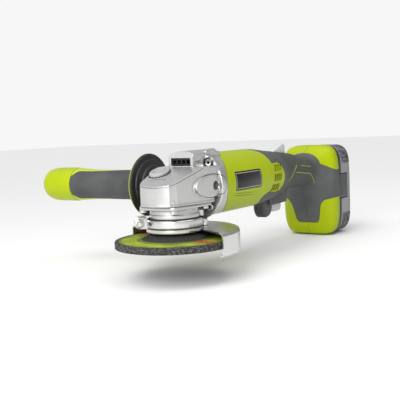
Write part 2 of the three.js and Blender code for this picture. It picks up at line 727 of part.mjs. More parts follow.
function nameplateForm(side, grow, depth) {
  const [low, high] = side < 0 ? [-60, -5] : [5, 60];
  const area = block(61.5 - grow, 111.5 + grow, low, high, 43.8 - grow, 62 + grow);
  return common(cut(rodX(barrelRadius + (grow ? 2 : 0), 55, 130, 0, motorZ, fine),
    rodX(barrelRadius - depth, 50, 140, 0, motorZ, fine)), area);
}

// Controls
function triggerPaddle() {
  const shape = new THREE.Shape();
  shape.moveTo(175.2, 31);
  shape.lineTo(175.2, 17);
  shape.quadraticCurveTo(175.4, 9, 180, 8.2);
  shape.lineTo(193, 8.4);
  shape.quadraticCurveTo(197, 9, 197.5, 14);
  shape.lineTo(198.6, 21);
  shape.lineTo(198.6, 26.4);
  shape.lineTo(185, 30.4);
  const body = sidePlate(shape, -5.5, 5.5, 5);
  return cut(body, block(184, 192, -3.4, 3.4, 23, 40));
}

function lockOffSlider() {
  const shape = new THREE.Shape();
  shape.moveTo(186, 64);
  shape.lineTo(212.2, 64);
  shape.lineTo(212.2, 77);
  shape.quadraticCurveTo(211.4, 83.5, 208, 85.2);
  shape.quadraticCurveTo(199, 81.6, 190, 78.4);
  shape.lineTo(186, 77.4);
  const fin = sidePlate(shape, -5, 5, 5);
  const keeper = block(188, 210, -8.4, 8.4, 62.6, 64.6);
  return joined(fin, keeper);
}

function switchBlock() {
  const body = block(175, 203, -9.5, 9.5, 41, 61);
  const plunger = rodZ(2.4, 36.4, 42, 180.5, 0, 12);
  return joined(body, plunger);
}

function terminalBlock() {
  const body = block(226, 232.5, -9.5, 9.5, 40.5, 57);
  const blades = [-7, 0, 7].map((y) => block(232, 251, y - 0.5, y + 0.5, 43, 51));
  return joined(body, ...blades);
}

// Battery
function packForm(x0, x1, inset) {
  const rings = [[x0, inset + 0.8], [x0 + 1.5, inset], [x1 - 4, inset], [x1 - 1, inset + 1.6],
    [x1, inset + 4]];
  return skinned(rings.map(([x, i]) => sectionRing(x, footTop - 1 - i, footBottom + 1 + i,
    footHalfWidth - 0.8 - i, 5, 16)));
}

const splitX = 302;

function latchPocket(side, grow) {
  const [low, high] = side < 0 ? [-40, -28.5 + grow] : [28.5 - grow, 40];
  return block(296.6 - grow, 320.5 + grow, low, high, 11.5 - grow, 42.5 + grow);
}

function batteryTop() {
  const lid = common(packForm(footX + gap, batteryEndX, 0), block(200, splitX, -60, 60, -60, 130));
  const stem = skinned([[246, 1.2], [248, 0], [footX + 2, 0]].map(([x, i]) => sectionRing(x,
    stemZ + stemHalf - i, stemZ - stemHalf + i, stemHalf - i, 4, 16)));
  const under = common(packForm(splitX - 3, batteryEndX, 3), block(200, splitX + 1, -60, 60, -60, 130));
  const contacts = [-7, 0, 7].map((y) => block(240, 253, y - 1, y + 1, 42, 52));
  return cut(joined(cut(lid, under), stem), latchPocket(-1, gap), latchPocket(1, gap), ...contacts);
}

function batteryCase() {
  const outside = common(packForm(footX + gap, batteryEndX, 0), block(splitX + gap, 340, -60, 60, -60, 130));
  const inside = common(packForm(footX, batteryEndX - 3, 3), block(200, batteryEndX - 3, -60, 60, -60, 130));
  return cut(outside, inside, latchPocket(-1, gap), latchPocket(1, gap));
}

function batteryCells() {
  const cells = [-14, 5, 42, 61].map((z) => rodY(9.1, -25, 25, 315.5, z, 12));
  const combs = [-25.4, 22.4].map((y) => block(306, 325, y, y + 3, -20, 67));
  return joined(...combs, ...cells, rodY(9.1, -25, 25, 315.5, 23.5, 12));
}

function packLatch(side) {
  const face = footHalfWidth - 0.8;
  const [low, high] = side < 0 ? [-face, -30.5] : [30.5, face];
  const body = block(297, 320, low, high, 12, 42);
  const ribs = [];
  for (let i = 0; i < 6; i += 1) {
    const z = 15.5 + i * 4.3;
    const [y0, y1] = side < 0 ? [low - 1, low + 0.8] : [high - 0.8, high + 1];
    ribs.push(block(300, 317, y0, y1, z, z + 2));
  }
  return cut(body, ...ribs);
}

// The assembly
const grinder = new THREE.Group();

function add(name, geometry, material) {
  const mesh = new THREE.Mesh(geometry, material);
  mesh.name = name;
  grinder.add(mesh);
}

add("gear_case", gearCase(), castAluminium);
add("bearing_retainer", bearingRetainer(), castAluminium);
retainerSpots.forEach(([x, y], i) => {
  add(`retainer_screw_${i + 1}`, screwAlongZ(x, y, 34.4 - gap, 9), brightSteel);
});
caseScrews.forEach(([y, z, x], i) => {
  add(`case_screw_${i + 1}`, screwAlongX(x, y, z, 64 - x), brightSteel);
});
add("exhaust_louvre", exhaustLouvre(), blackPlastic);
add("spindle", spindle(), brightSteel);
add("crown_gear", crownGear(), darkSteel);
add("inner_flange", innerFlange(), darkSteel);
add("grinding_wheel", grindingWheel(), abrasive);
add("wheel_nut", wheelNut(), darkSteel);
add("spindle_bearing", tube(6.95, 14, 23, 32, 20), brightSteel);
add("spindle_bush", tube(5.2, 7.3, 47.2, 61), brightSteel);
add("motor_shaft", motorShaft(), brightSteel);
add("drive_pinion", drivePinion(), darkSteel);
add("cooling_fan", coolingFan(), blackPlastic);
add("armature_core", armatureCore(), darkSteel);
add("commutator", commutator(), copper);
add("front_bearing", alongX(tube(5, 13, 26.8, 34.8, 20), 0, motorZ), brightSteel);
add("rear_bearing", alongX(tube(4.1, 11, 132, 139, 20), 0, motorZ), brightSteel);
add("magnet_can", magnetCan(), darkSteel);
add("brush_left", brush(-1), carbon);
add("brush_right", brush(1), carbon);
add("lock_button", lockButton(), palePlastic);
add("lock_pin", lockPin(), brightSteel);
add("lock_spring", coilSpring(3.9, 0.5, 58.3, 65.3, 4, lockX, lockY), brightSteel);
add("wheel_guard", wheelGuard(), brightSteel);
add("clamp_band", clampBand(), brightSteel);
add("clamp_screw", clampScrew(), brightSteel);
add("clamp_nut", clampNut(), brightSteel);
add("handle_stud", handleStud(), brightSteel);
add("handle_flange", handleFlange(), blackPlastic);
add("handle_sleeve", handleSleeve(), darkRubber);
add("handle_cap", handleCap(), limePlastic);
add("housing_left", housing(-1), limePlastic);
add("housing_right", housing(1), limePlastic);
add("grip_left", grip(-1), darkRubber);
add("grip_right", grip(1), darkRubber);
housingScrews.forEach(([x, z, y], i) => {
  const thread = rodY(1.6, -7, y - 3.4, x, z, 12);
  const head = cut(rodY(3.3, y - 3.1, y - 0.6, x, z, 16), rodY(1.4, y - 2, y, x, z, 6));
  add(`housing_screw_${i + 1}`, joined(thread, rodY(1.6, y - 3.6, y - 3, x, z, 12), head), brightSteel);
});
add("nameplate_left", nameplateForm(-1, 0, 1.2), blackPlastic);
add("nameplate_right", nameplateForm(1, 0, 1.2), blackPlastic);
add("trigger", triggerPaddle(), palePlastic);
add("trigger_spring", coilSpring(2.4, 0.45, 23.3, 40.6, 5, 188, 0), brightSteel);
add("lock_off_slider", lockOffSlider(), palePlastic);
add("switch_block", switchBlock(), blackPlastic);
add("terminal_block", terminalBlock(), blackPlastic);
add("battery_top", batteryTop(), blackPlastic);
add("battery_case", batteryCase(), greyPlastic);
add("battery_cells", batteryCells(), limePlastic);
add("latch_left", packLatch(-1), greyPlastic);
add("latch_right", packLatch(1), greyPlastic);

export default grinder;
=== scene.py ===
import json
import math

import bpy
import bmesh
from mathutils import Matrix, Vector


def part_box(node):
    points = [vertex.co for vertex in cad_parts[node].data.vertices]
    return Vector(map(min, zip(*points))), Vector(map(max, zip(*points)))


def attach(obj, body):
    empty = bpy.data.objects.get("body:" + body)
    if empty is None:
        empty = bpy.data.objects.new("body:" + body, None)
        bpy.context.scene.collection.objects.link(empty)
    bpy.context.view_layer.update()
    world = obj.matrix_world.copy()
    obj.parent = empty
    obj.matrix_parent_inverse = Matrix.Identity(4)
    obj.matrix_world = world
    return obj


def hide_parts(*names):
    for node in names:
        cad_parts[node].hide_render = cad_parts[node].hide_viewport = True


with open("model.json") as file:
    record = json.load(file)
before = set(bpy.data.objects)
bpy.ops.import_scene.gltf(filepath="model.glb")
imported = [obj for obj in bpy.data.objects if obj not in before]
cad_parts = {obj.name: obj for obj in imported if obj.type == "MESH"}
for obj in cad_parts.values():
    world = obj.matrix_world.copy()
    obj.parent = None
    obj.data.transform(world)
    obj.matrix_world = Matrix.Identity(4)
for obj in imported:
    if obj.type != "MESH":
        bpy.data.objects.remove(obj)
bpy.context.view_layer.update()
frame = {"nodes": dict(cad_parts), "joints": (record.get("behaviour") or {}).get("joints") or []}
nodes = frame["nodes"]
scene = bpy.context.scene
mm = 0.001
print("frame loaded:", len(nodes), "nodes")


# Mesh tools: shapes are given in millimetres, in the frame of the whole object
def makeObject(name, points, faces):
    mesh = bpy.data.meshes.new(name)
    mesh.from_pydata([Vector(p) * mm for p in points], [], faces)
    obj = bpy.data.objects.new(name, mesh)
    scene.collection.objects.link(obj)
    turnOutwards(obj)
    return obj


def turnOutwards(obj):
    work = bmesh.new()
    work.from_mesh(obj.data)
    bmesh.ops.remove_doubles(work, verts=work.verts, dist=1e-7)
    bmesh.ops.recalc_face_normals(work, faces=work.faces)
    work.to_mesh(obj.data)
    work.free()


def settle(obj):
    # Applies every modifier, so that the object holds a plain mesh.
    graph = bpy.context.evaluated_depsgraph_get()
    result = bpy.data.meshes.new_from_object(obj.evaluated_get(graph))
    old = obj.data
    obj.modifiers.clear()
    obj.data = result
    result.name = obj.name
    bpy.data.meshes.remove(old)
    return obj


def discard(*objects):
    for obj in objects:
        mesh = obj.data
        bpy.data.objects.remove(obj)
        bpy.data.meshes.remove(mesh)


def combine(base, tools, operation):
    for tool in tools:
        step = base.modifiers.new("combine", "BOOLEAN")
        step.operation = operation
        step.solver = "MANIFOLD"
        step.object = tool
    settle(base)
    discard(*tools)
    return base


def carve(base, *tools):
    return combine(base, tools, "DIFFERENCE")


def join(base, *tools):
    return combine(base, tools, "UNION")


def keep(base, tool):
    return combine(base, [tool], "INTERSECT")


def loft(name, rings, looped=False):
    count = len(rings[0])
    points = [p for ring in rings for p in ring]
    faces = []
    for r in range(len(rings) if looped else len(rings) - 1):
        here, there = r * count, ((r + 1) % len(rings)) * count
        for i in range(count):
            j = (i + 1) % count
            faces.append((here + i, here + j, there + j, there + i))
    if not looped:
        faces.append(tuple(range(count)))
        faces.append(tuple(range(len(points) - count, len(points))))
    return makeObject(name, points, faces)


def placed(along, a, b, h, at):
    # (a, b) across the axis and h along it, moved to the point that the axis passes through
    if along == "X":
        return (h, a + at[0], b + at[1])
    if along == "Y":
        return (a + at[0], h, b + at[1])
    return (a + at[0], b + at[1], h)


def filleted(points, radius, closed, steps=3):
    # Rounds the corners of a profile; ends and corners on the axis stay sharp.
    if radius <= 0:
        return points
    result = []
    for i, p in enumerate(points):
        inner = closed or 0 < i < len(points) - 1
        if not inner or (not closed and p[0] == 0):
            result.append(p)
            continue
        here = Vector((p[0], p[1]))
        before = Vector(points[i - 1][:2]) - here
        after = Vector(points[(i + 1) % len(points)][:2]) - here
        reach = min(radius, before.length * 0.45, after.length * 0.45)
        a, b = here + before.normalized() * reach, here + after.normalized() * reach
        for k in range(steps + 1):
            t = k / steps
            q = a * (1 - t) ** 2 + here * 2 * t * (1 - t) + b * t ** 2
            result.append((q.x, q.y))
    return result


def lathe(name, profile, along="Z", at=(0, 0), sides=96, closed=False, fillet=0.0, turn=0.0):
    # Profile points are (radius, height); an open profile starts and ends on the axis.
    profile = filleted(profile, fillet, closed)
    rings, points, faces = [], [], []
    for radius, height in profile:
        if radius == 0:
            rings.append([len(points)])
            points.append(placed(along, 0, 0, height, at))
            continue
        ring = []
        for i in range(sides):
            angle = turn + 2 * math.pi * i / sides
            ring.append(len(points))
            points.append(placed(along, radius * math.cos(angle), radius * math.sin(angle), height, at))
        rings.append(ring)
    pairs = list(zip(rings, rings[1:]))
    if closed:
        pairs.append((rings[-1], rings[0]))
    for low, high in pairs:
        for i in range(sides):
            j = (i + 1) % sides
            if len(low) == 1 and len(high) > 1:
                faces.append((low[0], high[i], high[j]))
            elif len(high) == 1 and len(low) > 1:
                faces.append((low[i], low[j], high[0]))
            elif len(low) > 1:
                faces.append((low[i], low[j], high[j], high[i]))
    return makeObject(name, points, faces)


def rod(name, radius, low, high, along="Z", at=(0, 0), sides=48, fillet=0.0):
    return lathe(name, [(0, low), (radius, low), (radius, high), (0, high)], along, at, sides, False, fillet)


def bevelled(obj, width, segments=2, limit=35):
    if width > 0:
        step = obj.modifiers.new("bevel", "BEVEL")
        step.width = width * mm
        step.segments = segments
        step.limit_method = "ANGLE"
        step.angle_limit = math.radians(limit)
        settle(obj)
    return obj


def prism(name, outline, low, high, along="Y", bevel=0.0, segments=2):
    rings = [[placed(along, a, b, h, (0, 0)) for a, b in outline] for h in (low, high)]
    return bevelled(loft(name, rings), bevel, segments)


def block(name, x0, x1, y0, y1, z0, z1, bevel=0.0, segments=2):
    return prism(name, [(x0, y0), (x1, y0), (x1, y1), (x0, y1)], z0, z1, "Z", bevel, segments)


def crossSlice(x0, x1):
    # A slab across the whole body.
    return block("slice", x0, x1, -60, 60, -60, 130)


def sideSpan(side, near, far):
    # The low and high y of a span on the left (-1) or the right (1) of the middle plane.
    return sorted((side * near, side * far))


def turned(obj, degrees, axis="Z"):
    obj.data.transform(Matrix.Rotation(math.radians(degrees), 4, axis))
    return obj


def arc(cx, cz, rx, rz, start, end, steps):
    return [(cx + rx * math.cos(math.radians(start + (end - start) * i / steps)),
             cz + rz * math.sin(math.radians(start + (end - start) * i / steps))) for i in range(steps + 1)]


def softened(obj, voxel, rounds, share=0.35):
    # Re-meshes a carved body evenly, rounds its edges and thins it again.
    step = obj.modifiers.new("remesh", "REMESH")
    step.mode = "VOXEL"
    step.voxel_size = voxel * mm
    relax = obj.modifiers.new("relax", "SMOOTH")
    relax.factor = 0.5
    relax.iterations = rounds
    thin = obj.modifiers.new("thin", "DECIMATE")
    thin.ratio = share
    return settle(obj)


def place(obj, name, body, slotName, material, replaced=(), smooth=35):
    obj.name = name
    obj.data.name = name
    obj.data.materials.clear()
    obj.data.materials.append(material)
    for face in obj.data.polygons:
        face.material_index = 0
    if smooth:
        obj.data.shade_smooth()
        obj.data.set_sharp_from_angle(angle=math.radians(smooth))
    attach(obj, body)
    if replaced:
        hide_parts(*replaced)
    return obj


# Shader tools
def makeGroup(name, inputs, outputs):
    tree = bpy.data.node_groups.new(name, "ShaderNodeTree")
    for label, kind, value in inputs:
        made = tree.interface.new_socket(name=label, in_out="INPUT", socket_type=kind)
        made.default_value = value
    for label, kind in outputs:
        tree.interface.new_socket(name=label, in_out="OUTPUT", socket_type=kind)
    return tree, tree.nodes.new("NodeGroupInput"), tree.nodes.new("NodeGroupOutput")


def shaderNode(tree, kind, **values):
    node = tree.nodes.new("ShaderNode" + kind)
    for label, value in values.items():
        if hasattr(node, label):
            setattr(node, label, value)
        else:
            node.inputs[label.replace("_", " ")].default_value = value
    return node


def mathNode(tree, operation, a, b=None, clamp=False):
    node = tree.nodes.new("ShaderNodeMath")
    node.operation = operation
    node.use_clamp = clamp
    for i, value in enumerate((a, b)):
        if value is None:
            continue
        if isinstance(value, (int, float)):
            node.inputs[i].default_value = value
        else:
            tree.links.new(value, node.inputs[i])
    return node.outputs[0]


def stepNode(tree, value, low, high, toLow=0.0, toHigh=1.0):
    node = tree.nodes.new("ShaderNodeMapRange")
    node.interpolation_type = "SMOOTHSTEP"
    tree.links.new(value, node.inputs["Value"])
    for label, number in (("From Min", low), ("From Max", high), ("To Min", toLow), ("To Max", toHigh)):
        if isinstance(number, (int, float)):
            node.inputs[label].default_value = number
        else:
            tree.links.new(number, node.inputs[label])
    return node.outputs["Result"]


def mixColour(tree, factor, a, b):
    node = tree.nodes.new("ShaderNodeMix")
    node.data_type = "RGBA"
    for socket, value in ((node.inputs[0], factor), (node.inputs[6], a), (node.inputs[7], b)):
        if isinstance(value, (int, float)):
            socket.default_value = value
        elif isinstance(value, (tuple, list)):
            socket.default_value = (*value, 1) if len(value) == 3 else value
        else:
            tree.links.new(value, socket)
    return node.outputs[2]


def buildGrain():
    # Fine even texture: a height for bump and a value to vary roughness and colour.
    tree, given, out = makeGroup("moulded grain", [
        ("Vector", "NodeSocketVector", (0, 0, 0)), ("Scale", "NodeSocketFloat", 900.0),
        ("Cloud Scale", "NodeSocketFloat", 40.0)],
        [("Height", "NodeSocketFloat"), ("Cloud", "NodeSocketFloat")])
    fine = shaderNode(tree, "TexNoise", Detail=3.0, Roughness=0.6)
    cloud = shaderNode(tree, "TexNoise", Detail=2.0)
    for node, label in ((fine, "Scale"), (cloud, "Cloud Scale")):
        tree.links.new(given.outputs["Vector"], node.inputs["Vector"])
        tree.links.new(given.outputs[label], node.inputs["Scale"])
    tree.links.new(fine.outputs["Fac"], out.inputs["Height"])
    tree.links.new(cloud.outputs["Fac"], out.inputs["Cloud"])
    return tree


def buildScuffHighlightAndShade():
    # Edges found by a bevel test are lightened and broken up by noise, partly as scuffs and partly as painted
    # edge highlights; an occlusion test gives painted shade in the hollows.
    tree, given, out = makeGroup("edge wear", [
        ("Vector", "NodeSocketVector", (0, 0, 0)), ("Edge", "NodeSocketFloat", 0.0004),
        ("Reach", "NodeSocketFloat", 0.003), ("Breakup Scale", "NodeSocketFloat", 300.0)],
        [("Wear", "NodeSocketFloat"), ("Dirt", "NodeSocketFloat")])
    noise = shaderNode(tree, "TexNoise", Detail=4.0)
    tree.links.new(given.outputs["Vector"], noise.inputs["Vector"])
    tree.links.new(given.outputs["Breakup Scale"], noise.inputs["Scale"])
    rounded = shaderNode(tree, "Bevel")
    rounded.samples = 4
    tree.links.new(given.outputs["Edge"], rounded.inputs["Radius"])
    flat = shaderNode(tree, "NewGeometry")
    same = tree.nodes.new("ShaderNodeVectorMath")
    same.operation = "DOT_PRODUCT"
    tree.links.new(rounded.outputs[0], same.inputs[0])
    tree.links.new(flat.outputs["Normal"], same.inputs[1])
    edge = stepNode(tree, same.outputs["Value"], 0.8, 0.99, 1.0, 0.0)
    # Painted shade: darker where the occlusion test finds nearby surfaces, in hollows and creases.
    hollow = shaderNode(tree, "AmbientOcclusion")
    hollow.samples = 6
    tree.links.new(given.outputs["Reach"], hollow.inputs["Distance"])
    openness = stepNode(tree, hollow.outputs["AO"], 0.45, 0.95)
    broken = mathNode(tree, "MULTIPLY", edge, stepNode(tree, noise.outputs["Fac"], 0.35, 0.6))
    tree.links.new(mathNode(tree, "MULTIPLY", broken, openness, True), out.inputs["Wear"])
    tree.links.new(mathNode(tree, "SUBTRACT", 1.0, openness, True), out.inputs["Dirt"])
    return tree


def buildHatch():
    # Two crossing families of slanted ridges, seen from the side.
    tree, given, out = makeGroup("crossed hatch", [
        ("Vector", "NodeSocketVector", (0, 0, 0)), ("Pitch", "NodeSocketFloat", 0.0016)],
        [("Height", "NodeSocketFloat")])
    split = shaderNode(tree, "SeparateXYZ")
    tree.links.new(given.outputs["Vector"], split.inputs[0])
    waves = []
    for sign in ("ADD", "SUBTRACT"):
        slant = mathNode(tree, sign, split.outputs["X"], mathNode(tree, "MULTIPLY", split.outputs["Z"], 0.9))
        phase = mathNode(tree, "DIVIDE", slant, given.outputs["Pitch"])
        waves.append(mathNode(tree, "ABSOLUTE",
                              mathNode(tree, "SINE", mathNode(tree, "MULTIPLY", phase, math.pi))))
    tree.links.new(mathNode(tree, "MINIMUM", waves[0], waves[1]), out.inputs["Height"])
    return tree


groups = {"grain": buildGrain(), "wear": buildScuffHighlightAndShade(), "hatch": buildHatch()}


class Finish:
    # One material: a Principled shader with object coordinates, grain, edges lightened partly as scuffs and
    # partly as painted highlights, painted shade in hollows, and room for a pattern.
    def __init__(self, name, roughness, metallic=0.0, coat=0.0, specular=0.5):
        self.material = bpy.data.materials.new(name)
        self.material.use_nodes = True
        self.tree = self.material.node_tree
        self.shader = self.tree.nodes["Principled BSDF"]
        self.shader.inputs["Roughness"].default_value = roughness
        self.shader.inputs["Metallic"].default_value = metallic
        self.shader.inputs["Coat Weight"].default_value = coat
        self.shader.inputs["Coat Roughness"].default_value = 0.25
        self.shader.inputs["Specular IOR Level"].default_value = specular
        self.coords = self.tree.nodes.new("ShaderNodeTexCoord").outputs["Object"]

    def use(self, group, **values):
        node = self.tree.nodes.new("ShaderNodeGroup")
        node.node_tree = groups[group]
        self.tree.links.new(self.coords, node.inputs["Vector"])
        for label, value in values.items():
            node.inputs[label.replace("_", " ")].default_value = value
        return node.outputs

    def axes(self):
        split = self.tree.nodes.new("ShaderNodeSeparateXYZ")
        self.tree.links.new(self.coords, split.inputs[0])
        return split.outputs

    def mottled(self, texture, dark, light):
        return mixColour(self.tree, stepNode(self.tree, texture["Cloud"], 0.3, 0.7), dark, light)

    def varyRoughness(self, texture, low, high):
        self.link(stepNode(self.tree, texture["Cloud"], 0.2, 0.8, low, high), "Roughness")

    def distance(self, a, b):
        # Length of the vector with the two parts a and b.
        squares = [mathNode(self.tree, "MULTIPLY", part, part) for part in (a, b)]
        return mathNode(self.tree, "SQRT", mathNode(self.tree, "ADD", *squares))

    def within(self, value, low, high, blur):
        # One between the two limits and nought outside them, with edges as wide as blur.
        rising = stepNode(self.tree, value, low, low + blur)
        return mathNode(self.tree, "MULTIPLY", rising,
                        stepNode(self.tree, value, high - blur, high, 1.0, 0.0))

    def link(self, value, label):
        self.tree.links.new(value, self.shader.inputs[label])

    def bump(self, height, depth, strength=1.0):
        node = self.tree.nodes.new("ShaderNodeBump")
        node.inputs["Strength"].default_value = strength
        node.inputs["Distance"].default_value = depth
        self.tree.links.new(height, node.inputs["Height"])
        self.link(node.outputs["Normal"], "Normal")


def plainFinish(name, colour, roughness, metallic=0.0, coat=0.0, grain=900.0, depth=0.00002, cloud=0.06,
                wear=0.3, wearColour=None, vary=0.08, edge=0.0004, dirt=0.6, specular=0.5):
    finish = Finish(name, roughness, metallic, coat, specular)
    tree = finish.tree
    texture = finish.use("grain", Scale=grain)
    edgesAndHollows = finish.use("wear", Edge=edge)
    bright = wearColour or tuple(min(1, c * 1.5 + 0.03) for c in colour)
    dark = tuple(c * (1 - 3 * cloud) for c in colour)
    shade = finish.mottled(texture, dark, colour)
    # Edges lightened towards the edge colour: partly scuffs, partly a painted edge highlight.
    edgeLightened = mixColour(tree, mathNode(tree, "MULTIPLY", edgesAndHollows["Wear"], wear), shade, bright)
    # Painted shade: hollows and creases darkened to a fifth of the colour.
    hollowShaded = mixColour(tree, mathNode(tree, "MULTIPLY", edgesAndHollows["Dirt"], dirt), edgeLightened,
                      tuple(c * 0.2 for c in colour))
    finish.link(hollowShaded, "Base Color")
    finish.varyRoughness(texture, roughness - vary, roughness + vary)
    finish.bump(texture["Height"], depth)
    return finish.material


def limeFinish():
    # The lime plastic gets painted shade in its hollows and no lightened edges.
    return plainFinish("lime moulded plastic", (0.37, 0.46, 0.0), 0.36, specular=0.2, grain=1400,
                       depth=0.000008, cloud=0.012, wear=0.0, dirt=0.6, vary=0.01)


def castFinish():
    # Edges lightened nearly to white, partly as scuffs and partly as painted edge highlights; hollows
    # darkened with strong painted shade.
    return plainFinish("bead-blasted casting", (0.62, 0.62, 0.615), 0.36, metallic=0.8, grain=1100,
                       depth=0.00004, cloud=0.03, wear=0.55, wearColour=(0.92, 0.92, 0.92), dirt=0.85)


def brushedFinish(name, colour, roughness, centreAxis="Z", ringScale=6000.0):
    # Fine rings round an axis, as turned or polished steel has.
    finish = Finish(name, roughness, 1.0)
    tree = finish.tree
    axes = finish.axes()
    a, b = [axes[x] for x in "XYZ" if x != centreAxis]
    stretched = tree.nodes.new("ShaderNodeCombineXYZ")
    for part, label in ((finish.distance(a, b), "X"), (axes[centreAxis], "Y")):
        tree.links.new(mathNode(tree, "MULTIPLY", part, ringScale), stretched.inputs[label])
    rings = shaderNode(tree, "TexNoise", Scale=1.0, Detail=2.0)
    tree.links.new(stretched.outputs[0], rings.inputs["Vector"])
    texture = finish.use("grain", Scale=700.0)
    shade = mixColour(tree, stepNode(tree, rings.outputs["Fac"], 0.3, 0.7), tuple(c * 0.88 for c in colour),
                      colour)
    edgesAndHollows = finish.use("wear")
    clouded = mixColour(tree, stepNode(tree, texture["Cloud"], 0.35, 0.75), shade, colour)
    # Painted shade: hollows and creases darkened towards black.
    hollowShaded = mixColour(tree, mathNode(tree, "MULTIPLY", edgesAndHollows["Dirt"], 0.7), clouded,
                      tuple(c * 0.15 for c in colour))
    finish.link(hollowShaded, "Base Color")
    finish.link(stepNode(tree, rings.outputs["Fac"], 0.3, 0.7, roughness - 0.07, roughness + 0.1),
                "Roughness")
    finish.bump(rings.outputs["Fac"], 0.00001)
    return finish.material


# Every plain finish below has painted shade in its hollows and edges lightened partly by scuffs and partly as
# painted highlights.
finishes = {
    "lime": limeFinish(),
    "cast": castFinish(),
    "guard": brushedFinish("guard steel", (0.7, 0.7, 0.69), 0.24),
    "steel": brushedFinish("bright steel", (0.74, 0.74, 0.73), 0.25, "X"),
    "dark": plainFinish("oiled dark steel", (0.12, 0.125, 0.13), 0.38, 0.9, wear=0.6,
                        wearColour=(0.5, 0.5, 0.5)),
    "black": plainFinish("black moulding", (0.018, 0.018, 0.019), 0.42, grain=1200, cloud=0.1, wear=0.4),
    "pale": plainFinish("pale moulding", (0.6, 0.61, 0.61), 0.42, cloud=0.02),
    "greyDark": plainFinish("dark grey moulding", (0.085, 0.088, 0.092), 0.5, cloud=0.05, depth=0.00003),
    "copper": plainFinish("turned copper", (0.6, 0.27, 0.12), 0.3, 1.0, wear=0.5),
    "button": plainFinish("grey button moulding", (0.36, 0.36, 0.36), 0.4, cloud=0.02, dirt=0.9),
    # Near-black painted shadow, for the sheet behind the vents and the exhaust louvre.
    "soot": plainFinish("sooty black moulding", (0.006, 0.006, 0.006), 0.6, grain=1200, cloud=0.1, wear=0.1),
    "carbon": plainFinish("pressed carbon", (0.02, 0.02, 0.02), 0.7),
    "zinc": plainFinish("plated screw", (0.7, 0.7, 0.68), 0.3, 1.0, grain=2500, wear=0.4),
}
print("finishes ready:", len(finishes))


# Places that come from the frame, and the width of the seams
joints = {j["name"]: j for j in frame["joints"]}
motorZ = joints["motor_spin"]["pos_m"][2] / mm
handleX, _, handleZ = [v / mm for v in joints["handle_turn"]["pos_m"]]
seam = 0.3


def boxOf(node):
    low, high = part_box(node)
    return low / mm, high / mm


wheelLow, wheelHigh = boxOf("grinding_wheel")
guardLow = boxOf("wheel_guard")[0]
buttonLow, buttonHigh = boxOf("lock_button")
lockX, lockY = (buttonLow.x + buttonHigh.x) / 2, (buttonLow.y + buttonHigh.y) / 2


# Geometry Nodes tools
def growTree(name, inputs):
    tree = bpy.data.node_groups.new(name, "GeometryNodeTree")
    tree.interface.new_socket(name="Geometry", in_out="INPUT", socket_type="NodeSocketGeometry")
    for label, kind, value in inputs:
        made = tree.interface.new_socket(name=label, in_out="INPUT", socket_type="NodeSocket" + kind)
        if value is not None:
            made.default_value = value
    tree.interface.new_socket(name="Geometry", in_out="OUTPUT", socket_type="NodeSocketGeometry")
    return tree, tree.nodes.new("NodeGroupInput"), tree.nodes.new("NodeGroupOutput")


def growNode(tree, kind, links=None, **settings):
    node = tree.nodes.new(kind)
    for label, value in settings.items():
        setattr(node, label, value)
    for label, value in (links or {}).items():
        socket = node.inputs[label]
        if isinstance(value, bpy.types.NodeSocket):
            tree.links.new(value, socket)
        else:
            socket.default_value = value
    return node


def finishTree(tree, given, out, geometry):
    real = growNode(tree, "GeometryNodeRealizeInstances", {"Geometry": geometry})
    dressed = growNode(tree, "GeometryNodeSetMaterial", {
        "Geometry": real.outputs[0], "Material": given.outputs["Material"]})
    tree.links.new(dressed.outputs[0], out.inputs["Geometry"])
    return tree


def grow(name, host, tree, material, **values):
    # Runs the tree on the host's points and returns the result as a plain mesh object.
    step = host.modifiers.new("grow", "NODES")
    step.node_group = tree
    for item in tree.interface.items_tree:
        if item.item_type == "SOCKET" and item.in_out == "INPUT":
            label = item.name.replace(" ", "")
            label = label[0].lower() + label[1:]
            if item.name == "Material":
                step[item.identifier] = material
            elif label in values:
                step[item.identifier] = values[label]
    graph = bpy.context.evaluated_depsgraph_get()
    mesh = bpy.data.meshes.new_from_object(host.evaluated_get(graph))
    host.modifiers.clear()
    discard(host)
    obj = bpy.data.objects.new(name, mesh)
    scene.collection.objects.link(obj)
    return obj


def pointCloud(name, points, aims=None):
    obj = makeObject(name, points, [])
    if aims:
        aim = obj.data.attributes.new("aim", "FLOAT_VECTOR", "POINT")
        for item, value in zip(aim.data, aims):
            item.vector = value
    return obj


